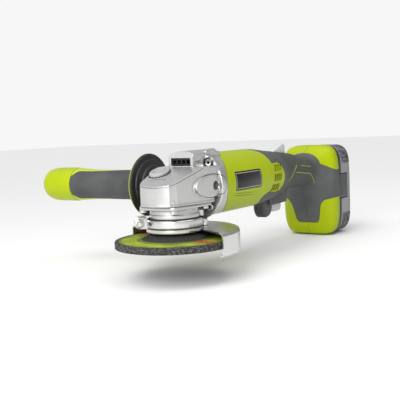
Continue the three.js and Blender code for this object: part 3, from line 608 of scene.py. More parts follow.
def screwTree():
    # A round head with a domed edge and a six-sided socket, on a shank, at every point and along its aim.
    tree, given, out = growTree("cap screws", [
        ("Head Radius", "Float", 0.0034), ("Head Height", "Float", 0.0026),
        ("Socket Radius", "Float", 0.0017),
        ("Shank Radius", "Float", 0.0015), ("Shank Length", "Float", 0.01), ("Material", "Material", None)])
    head = growNode(tree, "GeometryNodeMeshCylinder", {
        "Vertices": 32, "Radius": given.outputs["Head Radius"], "Depth": given.outputs["Head Height"]})
    socket = growNode(tree, "GeometryNodeMeshCylinder", {
        "Vertices": 6, "Radius": given.outputs["Socket Radius"], "Depth": given.outputs["Head Height"]})
    half = growNode(tree, "ShaderNodeMath", {0: given.outputs["Head Height"], 1: 0.5}, operation="MULTIPLY")
    up = growNode(tree, "ShaderNodeCombineXYZ", {"Z": half.outputs[0]})
    raised = growNode(tree, "GeometryNodeTransform",
                      {"Geometry": socket.outputs[0], "Translation": up.outputs[0]})
    drilled = growNode(tree, "GeometryNodeMeshBoolean", {
        "Mesh 1": head.outputs[0], "Mesh 2": raised.outputs[0]}, operation="DIFFERENCE")
    shank = growNode(tree, "GeometryNodeMeshCylinder", {
        "Vertices": 16, "Radius": given.outputs["Shank Radius"], "Depth": given.outputs["Shank Length"]})
    drop = growNode(tree, "ShaderNodeMath", {0: given.outputs["Shank Length"], 1: -0.5}, operation="MULTIPLY")
    down = growNode(tree, "ShaderNodeCombineXYZ", {"Z": drop.outputs[0]})
    lowered = growNode(tree, "GeometryNodeTransform",
                       {"Geometry": shank.outputs[0], "Translation": down.outputs[0]})
    whole = growNode(tree, "GeometryNodeJoinGeometry")
    tree.links.new(drilled.outputs[0], whole.inputs[0])
    tree.links.new(lowered.outputs[0], whole.inputs[0])
    aim = growNode(tree, "GeometryNodeInputNamedAttribute", {"Name": "aim"}, data_type="FLOAT_VECTOR")
    turn = growNode(tree, "FunctionNodeAlignRotationToVector", {"Vector": aim.outputs[0]}, axis="Z")
    copies = growNode(tree, "GeometryNodeInstanceOnPoints", {
        "Points": given.outputs["Geometry"], "Instance": whole.outputs[0], "Rotation": turn.outputs[0]})
    return finishTree(tree, given, out, copies.outputs[0])


def ribTree():
    # Rounded bars at every point, along their aim.
    tree, given, out = growTree("rounded ribs", [
        ("Rib Radius", "Float", 0.0006), ("Rib Length", "Float", 0.01), ("Sides", "Int", 10),
        ("Material", "Material", None)])
    bar = growNode(tree, "GeometryNodeMeshCylinder", {
        "Vertices": given.outputs["Sides"], "Radius": given.outputs["Rib Radius"],
        "Depth": given.outputs["Rib Length"]})
    aim = growNode(tree, "GeometryNodeInputNamedAttribute", {"Name": "aim"}, data_type="FLOAT_VECTOR")
    turn = growNode(tree, "FunctionNodeAlignRotationToVector", {"Vector": aim.outputs[0]}, axis="Z")
    copies = growNode(tree, "GeometryNodeInstanceOnPoints", {
        "Points": given.outputs["Geometry"], "Instance": bar.outputs[0], "Rotation": turn.outputs[0]})
    return finishTree(tree, given, out, copies.outputs[0])


def gritTree():
    # Small angular grains scattered over a surface.
    tree, given, out = growTree("abrasive grit", [
        ("Density", "Float", 500000.0), ("Grain Size", "Float", 0.0006), ("Seed", "Int", 4),
        ("Material", "Material", None)])
    spread = growNode(tree, "GeometryNodeDistributePointsOnFaces", {
        "Mesh": given.outputs["Geometry"], "Density": given.outputs["Density"],
        "Seed": given.outputs["Seed"]})
    grain = growNode(tree, "GeometryNodeMeshIcoSphere",
                     {"Radius": given.outputs["Grain Size"], "Subdivisions": 1})
    spin = growNode(tree, "FunctionNodeRandomValue", {"Seed": 7}, data_type="FLOAT_VECTOR")
    spin.inputs[1].default_value = (6.3, 6.3, 6.3)
    size = growNode(tree, "FunctionNodeRandomValue", {"Seed": 11}, data_type="FLOAT")
    size.inputs[2].default_value = 0.35
    size.inputs[3].default_value = 1.0
    copies = growNode(tree, "GeometryNodeInstanceOnPoints", {
        "Points": spread.outputs[0], "Instance": grain.outputs[0], "Rotation": spin.outputs[0],
        "Scale": size.outputs[1]})
    return finishTree(tree, given, out, copies.outputs[0])


def stripTree():
    # A thin round bead along every edge path.
    tree, given, out = growTree("surface bead", [
        ("Bead Radius", "Float", 0.0004), ("Material", "Material", None)])
    path = growNode(tree, "GeometryNodeMeshToCurve", {"Mesh": given.outputs["Geometry"]})
    ring = growNode(tree, "GeometryNodeCurvePrimitiveCircle", {
        "Resolution": 8, "Radius": given.outputs["Bead Radius"]})
    bead = growNode(tree, "GeometryNodeCurveToMesh", {
        "Curve": path.outputs[0], "Profile Curve": ring.outputs[0], "Fill Caps": True})
    return finishTree(tree, given, out, bead.outputs[0])


trees = {"screw": screwTree(), "rib": ribTree(), "grit": gritTree(), "strip": stripTree()}
print("geometry trees ready:", len(trees))


# Screws: across, up and head seat of the case screws, x and y of the retainer screws,
# and x, z and head seat of the housing screws
caseScrewPlaces = [(-17.9, 73.4, 36), (17.9, 73.4, 36), (-20, 31.3, 31), (20, 31.3, 31)]
retainerPlaces = [(-24.5, -17.5), (-24.5, 17.5), (20, -21), (20, 21)]
housingPlaces = [(152, 69.5, 20), (160, 28.8, 12.8), (286.5, 67, 30.4), (286.5, -21, 30.4)]
screwLook = {"headRadius": 0.0033, "retainerSeat": 32.7, "caseInset": 1.7, "housingInset": 1.85}


# Gear case
headLook = {"bottom": 37.3, "slopeX": -27, "slopeZ": 57.5, "slope": 0.3385, "noseX": -32, "noseRadius": 40.5,
            "cornerY": 19.5, "shoulderX": 16, "sideY": 28, "shelfZ": 70.6, "ductX": 13, "ductHalf": 14,
            "ductRadius": 34.5, "jointX": 81.5, "jointRadius": 35.5, "barrelRadius": 31, "collarRadius": 33.2,
            "voxel": 0.42}


def slopeAt(x):
    return headLook["slopeZ"] + headLook["slope"] * (x - headLook["slopeX"])


def headOutline():
    look = headLook
    centre = look["noseX"] + look["noseRadius"]
    spread = math.degrees(math.asin(look["cornerY"] / look["noseRadius"]) - 0.08)
    nose = arc(centre, 0, look["noseRadius"], look["noseRadius"], 180 + spread, 180 - spread, 24)
    side = [(40, -look["sideY"]), (look["shoulderX"], -look["sideY"]),
            (look["slopeX"] + 5, -look["cornerY"] - 1)]
    return side + nose + [(x, -y) for x, y in reversed(side)]


def padOutline(grow):
    points = []
    for i in range(72):
        angle = 2 * math.pi * i / 72
        taper = 1 - 0.16 * (1 - math.cos(angle)) / 2
        points.append((20.3 + (22.4 + grow) * math.cos(angle),
                       52.5 + (11.5 + grow) * math.sin(angle) * taper))
    return points


def collarBody(extra=0.0):
    look = headLook
    return lathe("collar", [(0, 34), (look["collarRadius"] - 0.6 + extra, 34),
                            (look["collarRadius"] + extra, 36),
                            (look["barrelRadius"], 46), (look["barrelRadius"], 75), (0, 75)],
                 "X", (0, motorZ), fillet=0.8)


def jointDrum(extra):
    look = headLook
    return rod("joint", look["jointRadius"] + extra, -60, 60, "Y", (look["jointX"], motorZ), 128)


def scaledOutline(points, away):
    # Moves an outline in or out from its own middle.
    middle = 5
    result = []
    for x, y in points:
        length = math.hypot(x - middle, y)
        result.append((middle + (x - middle) * (1 + away / length), y * (1 + away / length)))
    return result


def crispLines():
    # Narrow dark grooves round the handle pads and under the slanted top.
    lines = []
    for y0, y1 in ((-40, -26.9), (26.9, 40)):
        ring = prism("ring", padOutline(0.75), y0, y1)
        lines.append(carve(ring, prism("middle", padOutline(-0.05), -50, 50)))
    band = prism("band", scaledOutline(headOutline(), 3), 45, 90, "Z")
    carve(band, prism("core", scaledOutline(headOutline(), -0.6), 40, 95, "Z"))
    low, high = -1.35, -0.75
    slab = prism("slab", [(-40, slopeAt(-40) + low), (12, slopeAt(12) + low), (12, slopeAt(12) + high),
                          (-40, slopeAt(-40) + high)], -40, 40)
    line = block("line", -16.6, -15.6, -4.7, 7.6, 50, 70)
    tick = turned(block("tick", -0.5, 0.5, -3, 3, 50, 70), 35)
    tick.data.transform(Matrix.Translation(Vector((-17.4, 10, 0)) * mm))
    for mark in (line, tick):
        lines.append(keep(mark, prism("skin",
                                      [(-40, slopeAt(-40) - 0.6), (0, slopeAt(0) - 0.6), (0, 80), (-40, 80)],
                                      -20, 20)))
    return lines + [keep(band, slab)]


def buttonWell():
    well = rod("button", 10.1, 0, 30, at=(lockX, lockY))
    for vertex in well.data.vertices:
        if vertex.co.z < 10 * mm:
            vertex.co.z = (slopeAt(vertex.co.x / mm) - 3.9) * mm
        else:
            vertex.co.z = 90 * mm
    turnOutwards(well)
    return well


def gearCase():
    look = headLook
    head = prism("head", headOutline(), look["bottom"], 90, "Z")
    wedge = prism("wedge", [(-60, slopeAt(-60)), (look["ductX"], slopeAt(look["ductX"])),
                            (look["ductX"], 130), (-60, 130)], -60, 60)
    shelf = block("shelf", look["ductX"] - 1, 60, -60, 60, look["shelfZ"], 100)
    carve(head, wedge, shelf)
    collar = carve(collarBody(), jointDrum(seam), *[
        rod("room", 13, 30.5, 60, "Y", (handleX, handleZ))])
    duct = rod("duct", look["ductRadius"], look["ductX"], 60, "X", (0, motorZ), 96)
    column = prism("column",
                   [(look["ductX"], 60), (62, 60), (62, 90), (18, 90), (18, 86), (look["ductX"], 80)],
                   -look["ductHalf"], look["ductHalf"])
    carve(keep(duct, column), jointDrum(seam))
    pads = [prism("pad", padOutline(0), *span, bevel=0.7) for span in ((-28.4, -20), (20, 28.4))]
    ridge = prism("ridge", [(36, 80), (53, 80), (53, 85.4), (50, 86.4), (36, 84.4)], -14, -7, bevel=0.5)
    lip = prism("lip", [(x * 1.012, y * 1.012) for x, y in headOutline()], look["bottom"],
                look["bottom"] + 1.6, "Z")
    body = join(head, collar, duct, *pads, ridge, keep(lip, block("front", -60, 30, -60, 60, 30, 45)))
    rooms = [rod("gears", 21.2, look["bottom"] - 1, 54), rod("pinion", 8.6, 0, 27, "X", (0, motorZ)),
             rod("seat", 13.2, 26, 35.2, "X", (0, motorZ)), rod("fan", 27.4, 39, 90, "X", (0, motorZ)),
             rod("shaft", 7, 20, 45, "X", (0, motorZ)), rod("bush", 7.9, 45, 61.5),
             block("window", 0, 45, -11.2, 11.2, 71.6, 78.8, 0.6),
             buttonWell(), rod("pin", 2.6, 50, 90, at=(lockX, lockY)),
             rod("spring", 6.6, 58, 90, at=(lockX, lockY)),
             rod("left", 4.5, -40, -17, "Y", (handleX, handleZ)),
             rod("right", 4.5, 17, 40, "Y", (handleX, handleZ)),
             block("notchLeft", 26, 34, -40, -17, 20, 41.5), block("notchRight", 26, 34, 17, 40, 20, 41.5)]
    for y, z, x in caseScrewPlaces:
        rooms += [rod("well", 4.9 if z > 50 else 4.3, x - 18, x + 0.4, "X", (y, z)),
                  rod("hole", 1.8, 20, 90, "X", (y, z), 16)]
    carve(body, *rooms)
    softened(body, look["voxel"], 3)
    carve(body, *crispLines(), *[rod("hole", 1.6, 30, 43, at=(x, y), sides=16) for x, y in retainerPlaces])
    place(body, "gear_case_cast", "tool", "cast_aluminium", finishes["cast"], ["gear_case"], 60)


retainerLook = {"plate": (34, 37), "neck": 23, "bead": 23.9, "seat": 14.2, "mouth": 10, "hole": 2.1}


def bearingRetainer():
    look = retainerLook
    neckRadius, bead = look["neck"], look["bead"]
    corners = arc(-22.5, -16, 5.5, 5.5, 250, 180, 10)
    rim = [(25, -25)] + corners + [(x, -y) for x, y in reversed(corners)] + [(25, 25)]
    plate = prism("plate", rim, *look["plate"], "Z", 0.5)
    neck = lathe("neck", [(0, 16.9), (neckRadius, 16.9), (neckRadius, 24.8), (bead, 25.3), (bead, 28.6),
                          (neckRadius, 29.1), (neckRadius, 34.5), (0, 34.5)], fillet=0.4)
    lug = turned(block("lug", 20, 27, -4, 4, 25.2, 31, 0.6), -55)
    body = join(plate, neck, lug)
    rooms = [rod("seat", look["seat"], 22.7, 40), rod("mouth", look["mouth"], 10, 40)]
    for x, y in retainerPlaces:
        rooms += [rod("hole", look["hole"], 30, 50, at=(x, y), sides=16),
                  rod("spot", 3.9, 25, 34.4, at=(x, y), sides=32)]
    carve(body, *rooms)
    place(body, "bearing_retainer_cast", "tool", "cast_aluminium", finishes["cast"], ["bearing_retainer"])


def screws():
    look = screwLook
    points, aims = [], []
    for x, y in retainerPlaces:
        points.append((x, y, look["retainerSeat"]))
        aims.append((0, 0, -1))
    for y, z, x in caseScrewPlaces:
        points.append((x - look["caseInset"], y, z))
        aims.append((-1, 0, 0))
    for x, z, y in housingPlaces:
        points.append((x, y - look["housingInset"], z))
        aims.append((0, 1, 0))
    made = grow("screws", pointCloud("places", points, aims), trees["screw"], finishes["zinc"],
                headRadius=look["headRadius"])
    replaced = [f"{kind}_screw_{i}" for kind in ("retainer", "case", "housing") for i in (1, 2, 3, 4)]
    place(made, "tool_screws", "tool", "bright_steel", finishes["zinc"], replaced)


# Wheel, flanges and spindle
wheelLook = {"bore": 11.2, "labelOuter": 53.5, "labelInner": 31.5, "borderInner": 36.2, "borderOuter": 50.5,
             "hubRise": 5.1, "stripeTurn": 75, "stripeAway": 3.1, "stripeHalf": 1.7, "hubEdge": 31,
             "weave": 1500.0, "stone": (0.022, 0.022, 0.021), "speck": (0.19, 0.185, 0.17),
             "lime": (0.32, 0.39, 0.02), "limeDark": (0.17, 0.21, 0.006), "border": (0.10, 0.13, 0.008),
             "red": (0.36, 0.012, 0.01), "wobble": 0.28, "gritDensity": 380000.0, "gritSize": 0.00062}


def wheelFinish():
    look = wheelLook
    finish = Finish("bonded abrasive", 0.9)
    tree = finish.tree
    axes = finish.axes()
    radius = finish.distance(axes["X"], axes["Y"])
    grit = shaderNode(tree, "TexVoronoi", Scale=1100.0)
    tree.links.new(finish.coords, grit.inputs["Vector"])
    texture = finish.use("grain", Scale=600.0, Cloud_Scale=90.0)
    speck = stepNode(tree, grit.outputs["Color"], 0.55, 0.95)
    away = stepNode(tree, radius, look["hubEdge"] * mm, (look["hubEdge"] + 2.5) * mm, 0.1, 1.0)
    stone = mixColour(tree, mathNode(tree, "MULTIPLY", speck, away), look["stone"], look["speck"])
    # A printed ring with a darker border and two red stripes.
    label = finish.within(radius, look["labelInner"] * mm, look["labelOuter"] * mm, 0.5 * mm)
    top = stepNode(tree, axes["Z"], (wheelHigh.z - look["hubRise"] - 0.5) * mm,
                   (wheelHigh.z - look["hubRise"] - 0.3) * mm)
    ring = mathNode(tree, "MULTIPLY", label, top)
    along = math.radians(look["stripeTurn"])
    across = mathNode(tree, "SUBTRACT", mathNode(tree, "MULTIPLY", axes["X"], math.sin(along)),
                      mathNode(tree, "MULTIPLY", axes["Y"], math.cos(along)))
    beside = mathNode(tree, "SUBTRACT", mathNode(tree, "ABSOLUTE", across), look["stripeAway"] * mm)
    red = stepNode(tree, mathNode(tree, "ABSOLUTE", beside), look["stripeHalf"] * mm,
                   (look["stripeHalf"] + 0.2) * mm, 1.0, 0.0)
    border = mathNode(tree, "ADD", stepNode(tree, radius, look["borderInner"] * mm,
                                            (look["borderInner"] + 0.3) * mm, 1.0, 0.0),
                      stepNode(tree, radius, look["borderOuter"] * mm, (look["borderOuter"] + 0.3) * mm),
                      True)
    lime = mixColour(tree, stepNode(tree, texture["Cloud"], 0.35, 0.6), look["limeDark"], look["lime"])
    edged = mixColour(tree, mathNode(tree, "MULTIPLY", border, 0.75), lime, look["border"])
    printed = mixColour(tree, red, edged, look["red"])
    thin = stepNode(tree, texture["Height"], 0.6, 0.72)
    finish.link(mixColour(tree, mathNode(tree, "MULTIPLY", ring, mathNode(tree, "SUBTRACT", 1.0, thin)),
                          stone, printed), "Base Color")
    finish.link(stepNode(tree, ring, 0.0, 1.0, 0.92, 0.62), "Roughness")
    waves = [mathNode(tree, "SINE", mathNode(tree, "MULTIPLY", axes[x], look["weave"])) for x in "XY"]
    height = mathNode(tree, "ADD", speck,
                      mathNode(tree, "MULTIPLY", mathNode(tree, "MULTIPLY", *waves), 0.35))
    finish.bump(height, 0.00025)
    return finish.material


def grindingWheel():
    look = wheelLook
    low, top, edge = wheelLow.z, wheelHigh.z - look["hubRise"], wheelHigh.x
    material = wheelFinish()
    roof = low + look["hubRise"]
    wheel = lathe("wheel", [(look["bore"], roof), (21, roof), (29, low), (edge - 1.6, low),
                            (edge - 0.5, low + 0.3),
                            (edge - 0.3, low + 1.2), (edge - 0.3, top - 1.2), (edge - 0.5, top - 0.3),
                            (edge - 1.6, top), (32.5, top), (31, top + 0.9),
                            (24.2, top + look["hubRise"] - 0.3),
                            (23, top + look["hubRise"]), (look["bore"], top + look["hubRise"])],
                  closed=True, sides=180)
    for vertex in wheel.data.vertices:
        spot = vertex.co / mm
        if math.hypot(spot.x, spot.y) > edge - 2:
            angle = math.atan2(spot.y, spot.x)
            ripple = math.sin(angle * 37 + spot.z * 5) * math.sin(angle * 91 - spot.z * 3)
            vertex.co *= 1 - look["wobble"] * (0.5 + 0.5 * ripple) / edge
            vertex.co.z = spot.z * mm
    rim = lathe("rim", [(edge - 0.75, low + 0.5), (edge - 0.75, top - 0.5)], closed=False, sides=90)
    grains = grow("grains", rim, trees["grit"], material, density=look["gritDensity"],
                  grainSize=look["gritSize"])
    place(wheel, "grinding_wheel_disc", "spindle", "abrasive", material, ["grinding_wheel"], 40)
    place(grains, "grinding_wheel_grit", "spindle", "abrasive", material, [], 0)


spindleLook = {"flangeBore": 9.3, "flangeStep": 1.7, "nutBore": 7.1, "nutRadius": 17.6, "pilot": 10.8,
               "pinRadius": 2.2, "pinsAt": 13}


def spindleParts():
    look = spindleLook
    bore = look["flangeBore"]
    low, high = boxOf("inner_flange")
    radius = high.x
    flange = lathe("flange", [(bore, low.z), (radius, low.z), (radius, low.z + look["flangeStep"]),
                              (radius - 1.4, low.z + 3.4), (radius - 1.4, high.z), (bore, high.z)],
                              closed=True, fillet=0.5)
    place(flange, "inner_flange_turned", "spindle", "dark_steel", finishes["dark"], ["inner_flange"])
    low, high = boxOf("wheel_nut")
    step = low.z + 4.2
    bore, radius, pilot = look["nutBore"], look["nutRadius"], look["pilot"]
    nut = lathe("nut", [(bore, low.z), (radius - 1.2, low.z), (radius, low.z + 1.2), (radius, step),
                        (pilot, step), (pilot, high.z), (bore, high.z)], closed=True, fillet=0.3)
    pins = [rod("pin", look["pinRadius"], low.z - 1, low.z + 2.6, at=(look["pinsAt"], 0),
                sides=24) for _ in range(4)]
    carve(nut, *[turned(pin, i * 90) for i, pin in enumerate(pins)])
    place(nut, "wheel_nut_turned", "spindle", "dark_steel", finishes["dark"], ["wheel_nut"])
    shaft = lathe("shaft", [(0, 0), (6, 0), (6.8, 0.8), (6.8, 10.2), (9, 10.2), (9, 22.2), (6.7, 22.4),
                            (6.7, 46.4), (4.8, 46.6), (4.8, 60.6), (0, 60.6)], fillet=0.2)
    place(shaft, "spindle_turned", "spindle", "bright_steel",
          brushedFinish("spindle steel", (0.6, 0.6, 0.6), 0.3), ["spindle"])


# Guard and clamp
guardLook = {"wall": 1.5, "turn": -8.5, "clampTurn": 132, "tabTurn": -55, "outer": 60.3, "top": 13.9,
             "lip": 4.2, "screwAt": (33.6, 21.6)}


def wheelGuard():
    look = guardLook
    outer, top, bottom, wall = look["outer"], look["top"], guardLow.z, look["wall"]
    lip = outer - look["lip"]
    rim = lathe("rim", [(lip, bottom), (outer - 0.8, bottom), (outer, bottom + 0.8), (outer, top - 3.2),
                        (outer - 0.9, top - 0.9), (outer - 3.2, top), (24.6, top), (24.6, top - wall),
                        (outer - 3.6, top - wall), (outer - wall - 0.6, top - wall - 0.6),
                        (outer - wall, top - 3.6), (outer - wall, bottom + wall), (lip, bottom + wall)],
                closed=True, sides=160, fillet=0.35)
    front = prism("front",
                  [(-70, -70), (-1, -70), (-1, -56), (13, -14), (13, 14), (-1, 56), (-1, 70), (-70, 70)],
                  -30, 30, "Z")
    carve(rim, front)
    ring = lathe("ring", [(23.5, top - wall), (27, top - wall), (27, top + 2), (23.5, top + 2)], closed=True,
                 fillet=0.4)
    tab = turned(block("tab", 25, 31.5, -4.5, 4.5, top - 0.5, top + 1.9, 0.5), look["tabTurn"] - look["turn"])
    body = turned(join(rim, ring, tab), look["turn"])
    place(body, "wheel_guard_pressed", "guard", "bright_steel", finishes["guard"], ["wheel_guard"], 30)


def clampParts():
    look = guardLook
    screwAt = look["screwAt"]
    band = lathe("band", [(23.5, 16.3), (26.2, 16.3), (27, 17.3), (27, 23.3), (26.2, 24.3), (23.5, 24.3)],
                 closed=True, fillet=0.5)
    ears = []
    for y0, y1 in ((-7.6, -3.2), (3.2, 7.6)):
        ears.append(prism("ear", [(25.5, 16.3), (34, 16.3)] + arc(33.6, 21.6, 4.6, 5.3, -90, 90, 12) +
                          [(33, 27), (27, 27), (25.5, 25)], y0, y1, bevel=0.4))
    roots = [block("root", 24, 27.4, y0, y1, 16.3, 24.3) for y0, y1 in ((-7.6, -1.2), (1.2, 7.6))]
    tab = turned(block("tab", 26, 30.5, -4, 4, 16.3, 22.5, 0.6), look["tabTurn"] - look["clampTurn"])
    body = join(band, *ears, *roots, tab)
    carve(body, block("split", 20, 40, -1.2, 1.2, 10, 30), rod("hole", 2.2, -10, 10, "Y", screwAt, 32),
          rod("bore", 23.5, 10, 24.4, sides=128), rod("above", 24.4, 24.35, 30, sides=128))
    place(turned(body, look["clampTurn"]), "clamp_band_formed", "guard", "bright_steel", finishes["guard"],
          ["clamp_band"])
    seat = pointCloud("place", [(screwAt[0], -9.6, screwAt[1])], [(0, -1, 0)])
    screw = grow("screw", seat, trees["screw"], finishes["zinc"], headRadius=0.0042, headHeight=0.0042,
                 socketRadius=0.0021, shankRadius=0.0019, shankLength=0.0235)
    place(turned(screw, look["clampTurn"]), "clamp_screw_socket", "guard", "bright_steel", finishes["zinc"],
          ["clamp_screw"])
    nut = rod("nut", 4.3, 7.9, 11.6, "Y", screwAt, 6)
    carve(bevelled(nut, 0.4), rod("thread", 2.2, 0, 20, "Y", screwAt, 24))
    place(turned(nut, look["clampTurn"]), "clamp_nut_hex", "guard", "bright_steel", finishes["zinc"],
          ["clamp_nut"])


# The spindle-lock button: its rings follow the slanted top of the head
buttonLook = {"rise": 3.1, "flat": 65.2, "inner": 6.3}


def lockButton():
    look = buttonLook
    rise, inner = look["rise"], look["inner"]
    profile = [(0, rise), (4.9, rise), (5.3, rise - 0.6), (6.1, rise - 0.6), (6.5, rise + 0.1),
               (8.9, rise + 0.1), (9.8, rise - 0.8), (9.8, 0.2), (inner, 0.2), (inner, -9), (0, -9)]
    disc = lathe("button", profile, at=(lockX, lockY), fillet=0.3)
    for vertex in disc.data.vertices:
        x, lift = vertex.co.x / mm, vertex.co.z / mm
        vertex.co.z = (look["flat"] if lift < -5 else slopeAt(x) + lift) * mm
    turnOutwards(disc)
    place(disc, "lock_button_disc", "spindle_lock", "pale_plastic", finishes["button"], ["lock_button"], 30)


# Side handle
handleLook = {"sleeveStart": 60.6, "capStart": 147.5, "end": 192.9, "flangeBack": 51.9, "stripNarrow": 0.05,
              "stripWide": 0.52, "stripCorner": 14, "lime": (0.42, 0.53, 0.006)}


def flangeFinish():
    finish = Finish("black flange with a lime back", 0.42)
    tree = finish.tree
    texture = finish.use("grain", Scale=900.0)
    edgesAndHollows = finish.use("wear")
    edge = handleLook["flangeBack"]
    back = stepNode(tree, finish.axes()["Y"], (edge - 0.05) * mm, (edge + 0.05) * mm)
    black = finish.mottled(texture, (0.008, 0.009, 0.008), (0.016, 0.017, 0.015))
    # Edges lightened to grey: partly scuffs, partly a painted edge highlight.
    edgeLightened = mixColour(tree, mathNode(tree, "MULTIPLY", edgesAndHollows["Wear"], 0.3), black, (0.07, 0.07, 0.065))
    finish.link(mixColour(tree, back, edgeLightened, handleLook["lime"]), "Base Color")
    finish.varyRoughness(texture, 0.34, 0.5)
    finish.bump(texture["Height"], 0.00003)
    return finish.material


def sleeveFinish():
    # Dark rubber with a lime strip along the top and the bottom that widens towards the cap.
    look = handleLook
    finish = Finish("handle rubber", 0.62)
    tree = finish.tree
    axes = finish.axes()
    texture = finish.use("grain", Scale=1500.0)
    across = mathNode(tree, "SUBTRACT", axes["X"], handleX * mm)
    up = mathNode(tree, "SUBTRACT", axes["Z"], handleZ * mm)
    away = mathNode(tree, "ABSOLUTE", mathNode(tree, "ARCTAN2", across, mathNode(tree, "ABSOLUTE", up)))
    start, end = look["sleeveStart"] * mm, look["capStart"] * mm
    widening = stepNode(tree, axes["Y"], start, end, look["stripNarrow"], look["stripWide"])
    corner = mathNode(tree, "POWER", stepNode(tree, axes["Y"], end - look["stripCorner"] * mm, end), 3.0)
    limit = mathNode(tree, "ADD", widening, mathNode(tree, "MULTIPLY", corner, 0.45))
    strip = mathNode(tree, "LESS_THAN", away, limit)
    near = mathNode(tree, "LESS_THAN", mathNode(tree, "ABSOLUTE", mathNode(tree, "SUBTRACT", away, limit)),
                    0.035)
    rubber = finish.mottled(texture, (0.04, 0.041, 0.043), (0.066, 0.067, 0.069))
    edged = mixColour(tree, near, rubber, (0.012, 0.014, 0.008))
    finish.link(mixColour(tree, strip, edged, look["lime"]), "Base Color")
    finish.link(stepNode(tree, strip, 0.0, 1.0, 0.62, 0.36), "Roughness")
    depth = mathNode(tree, "SUBTRACT", texture["Height"], mathNode(tree, "MULTIPLY", near, 4.0))
    finish.bump(depth, 0.00005)
    return finish.material


def sideHandle():
    look = handleLook
    at = (handleX, handleZ)
    flange = lathe("flange", [
        (0, 90.5), (5.3, 90.5), (5.3, 38.6), (7.9, 38.3), (7.9, 31), (11.6, 31), (12, 39), (14.8, 41.2),
        (15.2, 43), (19.3, 44.6), (19.7, 46.2), (25.2, 48), (25.6, 49), (30.2, 49.9), (31.5, 51.4),
        (31.4, 52.6), (30, 53.8), (20, 55.4), (14.5, 57.6), (13.4, 60), (11, 60.2), (11, 150), (0, 150)],
        "Y", at, 120, fillet=0.5)
    place(flange, "handle_flange_moulded", "side_handle", "black_plastic", flangeFinish(), ["handle_flange"],
          30)
    start, end = look["sleeveStart"], look["capStart"] - seam
    sleeve = lathe("sleeve", [(11.3, start), (15.4, start), (16.2, start + 1.4), (16.2, start + 4.6),
                              (15.5, start + 5.6), (15.2, start + 16), (15.2, (start + end) / 2),
                              (15.7, end - 24),
                              (16.8, end - 8), (17.5, end), (11.3, end)], "Y", at, 96, True, fillet=0.6)
    place(sleeve, "handle_sleeve_rubber", "side_handle", "grip_rubber", sleeveFinish(), ["handle_sleeve"], 50)
    last = look["end"]
    cap = lathe("cap", [(0, 151), (11.3, 151), (11.3, end + seam), (17.5, end + seam), (18, end + 2.5),
                        (18.1, last - 26), (17.7, last - 25.2), (18.1, last - 24.4), (18, last - 17),
                        (17.3, last - 10), (15.6, last - 5), (12.6, last - 1.6), (8, last - 0.3), (0, last)],
                "Y", at, 96, fillet=1.2)
    place(cap, "handle_cap_moulded", "side_handle", "lime_plastic", finishes["lime"], ["handle_cap"], 40)
    print("side handle done")


# Housing, grip and foot share one outer form
bodyLook = {"skin": 2.0, "wall": 2.4, "footX": 293.8, "stemZ": 47, "stemHalf": 12.2, "rings": 3.0,
            "around": 96}
bodySections = [
    {"x": 44, "top": 82, "bottom": 20, "half": 31, "power": 2, "foot": False},
    {"x": 128, "top": 82, "bottom": 20, "half": 31, "power": 2, "foot": False},
    {"x": 165, "top": 78.6, "bottom": 22.6, "half": 27.6, "power": 2, "foot": False},
    {"x": 190, "top": 76.2, "bottom": 27, "half": 24.2, "power": 2.05, "foot": False},
    {"x": 215, "top": 73.6, "bottom": 30.2, "half": 21.4, "power": 2.1, "foot": False},
    {"x": 260, "top": 67.4, "bottom": 26.6, "half": 20.8, "power": 2.2, "foot": False},
    {"x": 276, "top": 73.5, "bottom": -10, "half": 29.4, "power": 3, "foot": True},
    {"x": 280, "top": 76.3, "bottom": -29.5, "half": 33.2, "power": 4, "foot": True},
    {"x": 284.5, "top": 78.5, "bottom": -32.9, "half": 35.6, "power": 5, "foot": True},
    {"x": 293.8, "top": 79.4, "bottom": -33.26, "half": 36, "power": 5, "foot": True},
]


def sectionRing(x, top, bottom, half, power, count):
    ring = []
    for i in range(count):
        angle = (i + 0.5) / count * 2 * math.pi
        across, up = math.cos(angle), math.sin(angle)
        y = math.copysign(abs(across) ** (2 / power) * half, across)
        z = math.copysign(abs(up) ** (2 / power) * (top - bottom) / 2, up)
        ring.append((x, y, (top + bottom) / 2 + z))
    return ring


def easedSections(inset, endX):
    # The listed sections with smooth steps between them.
    keys = []
    for s in bodySections:
        x = endX if s["x"] == bodyLook["footX"] else s["x"] + (inset if s["foot"] else 0)
        keys.append((x, s["top"] - inset, s["bottom"] + inset, s["half"] - inset, s["power"]))
    slopes = []
    for i in range(len(keys)):
        row = []
        for k in range(1, 5):
            if i in (0, len(keys) - 1):
                row.append(0.0)
                continue
            before = (keys[i][k] - keys[i - 1][k]) / (keys[i][0] - keys[i - 1][0])
            after = (keys[i + 1][k] - keys[i][k]) / (keys[i + 1][0] - keys[i][0])
            row.append(0.0 if before * after <= 0 else 2 * before * after / (before + after))
        slopes.append(row)
    result = []
    for i in range(len(keys) - 1):
        a, b = keys[i], keys[i + 1]
        length = b[0] - a[0]
        steps = max(2, math.ceil(length / bodyLook["rings"]))
        for n in range(steps):
            t = n / steps
            row = [a[0] + length * t]
            for k in range(1, 5):
                row.append(a[k] * (1 + 2 * t) * (1 - t) ** 2 + slopes[i][k - 1] * length * t * (1 - t) ** 2 +
                           b[k] * t * t * (3 - 2 * t) + slopes[i + 1][k - 1] * length * t * t * (t - 1))
            result.append(row)
    return result + [list(keys[-1])]


def bodyForm(inset, endX, count=None):
    rings = [sectionRing(*row, count or bodyLook["around"]) for row in easedSections(inset, endX)]
    return loft("form", rings)


outerSections = easedSections(0, bodyLook["footX"])


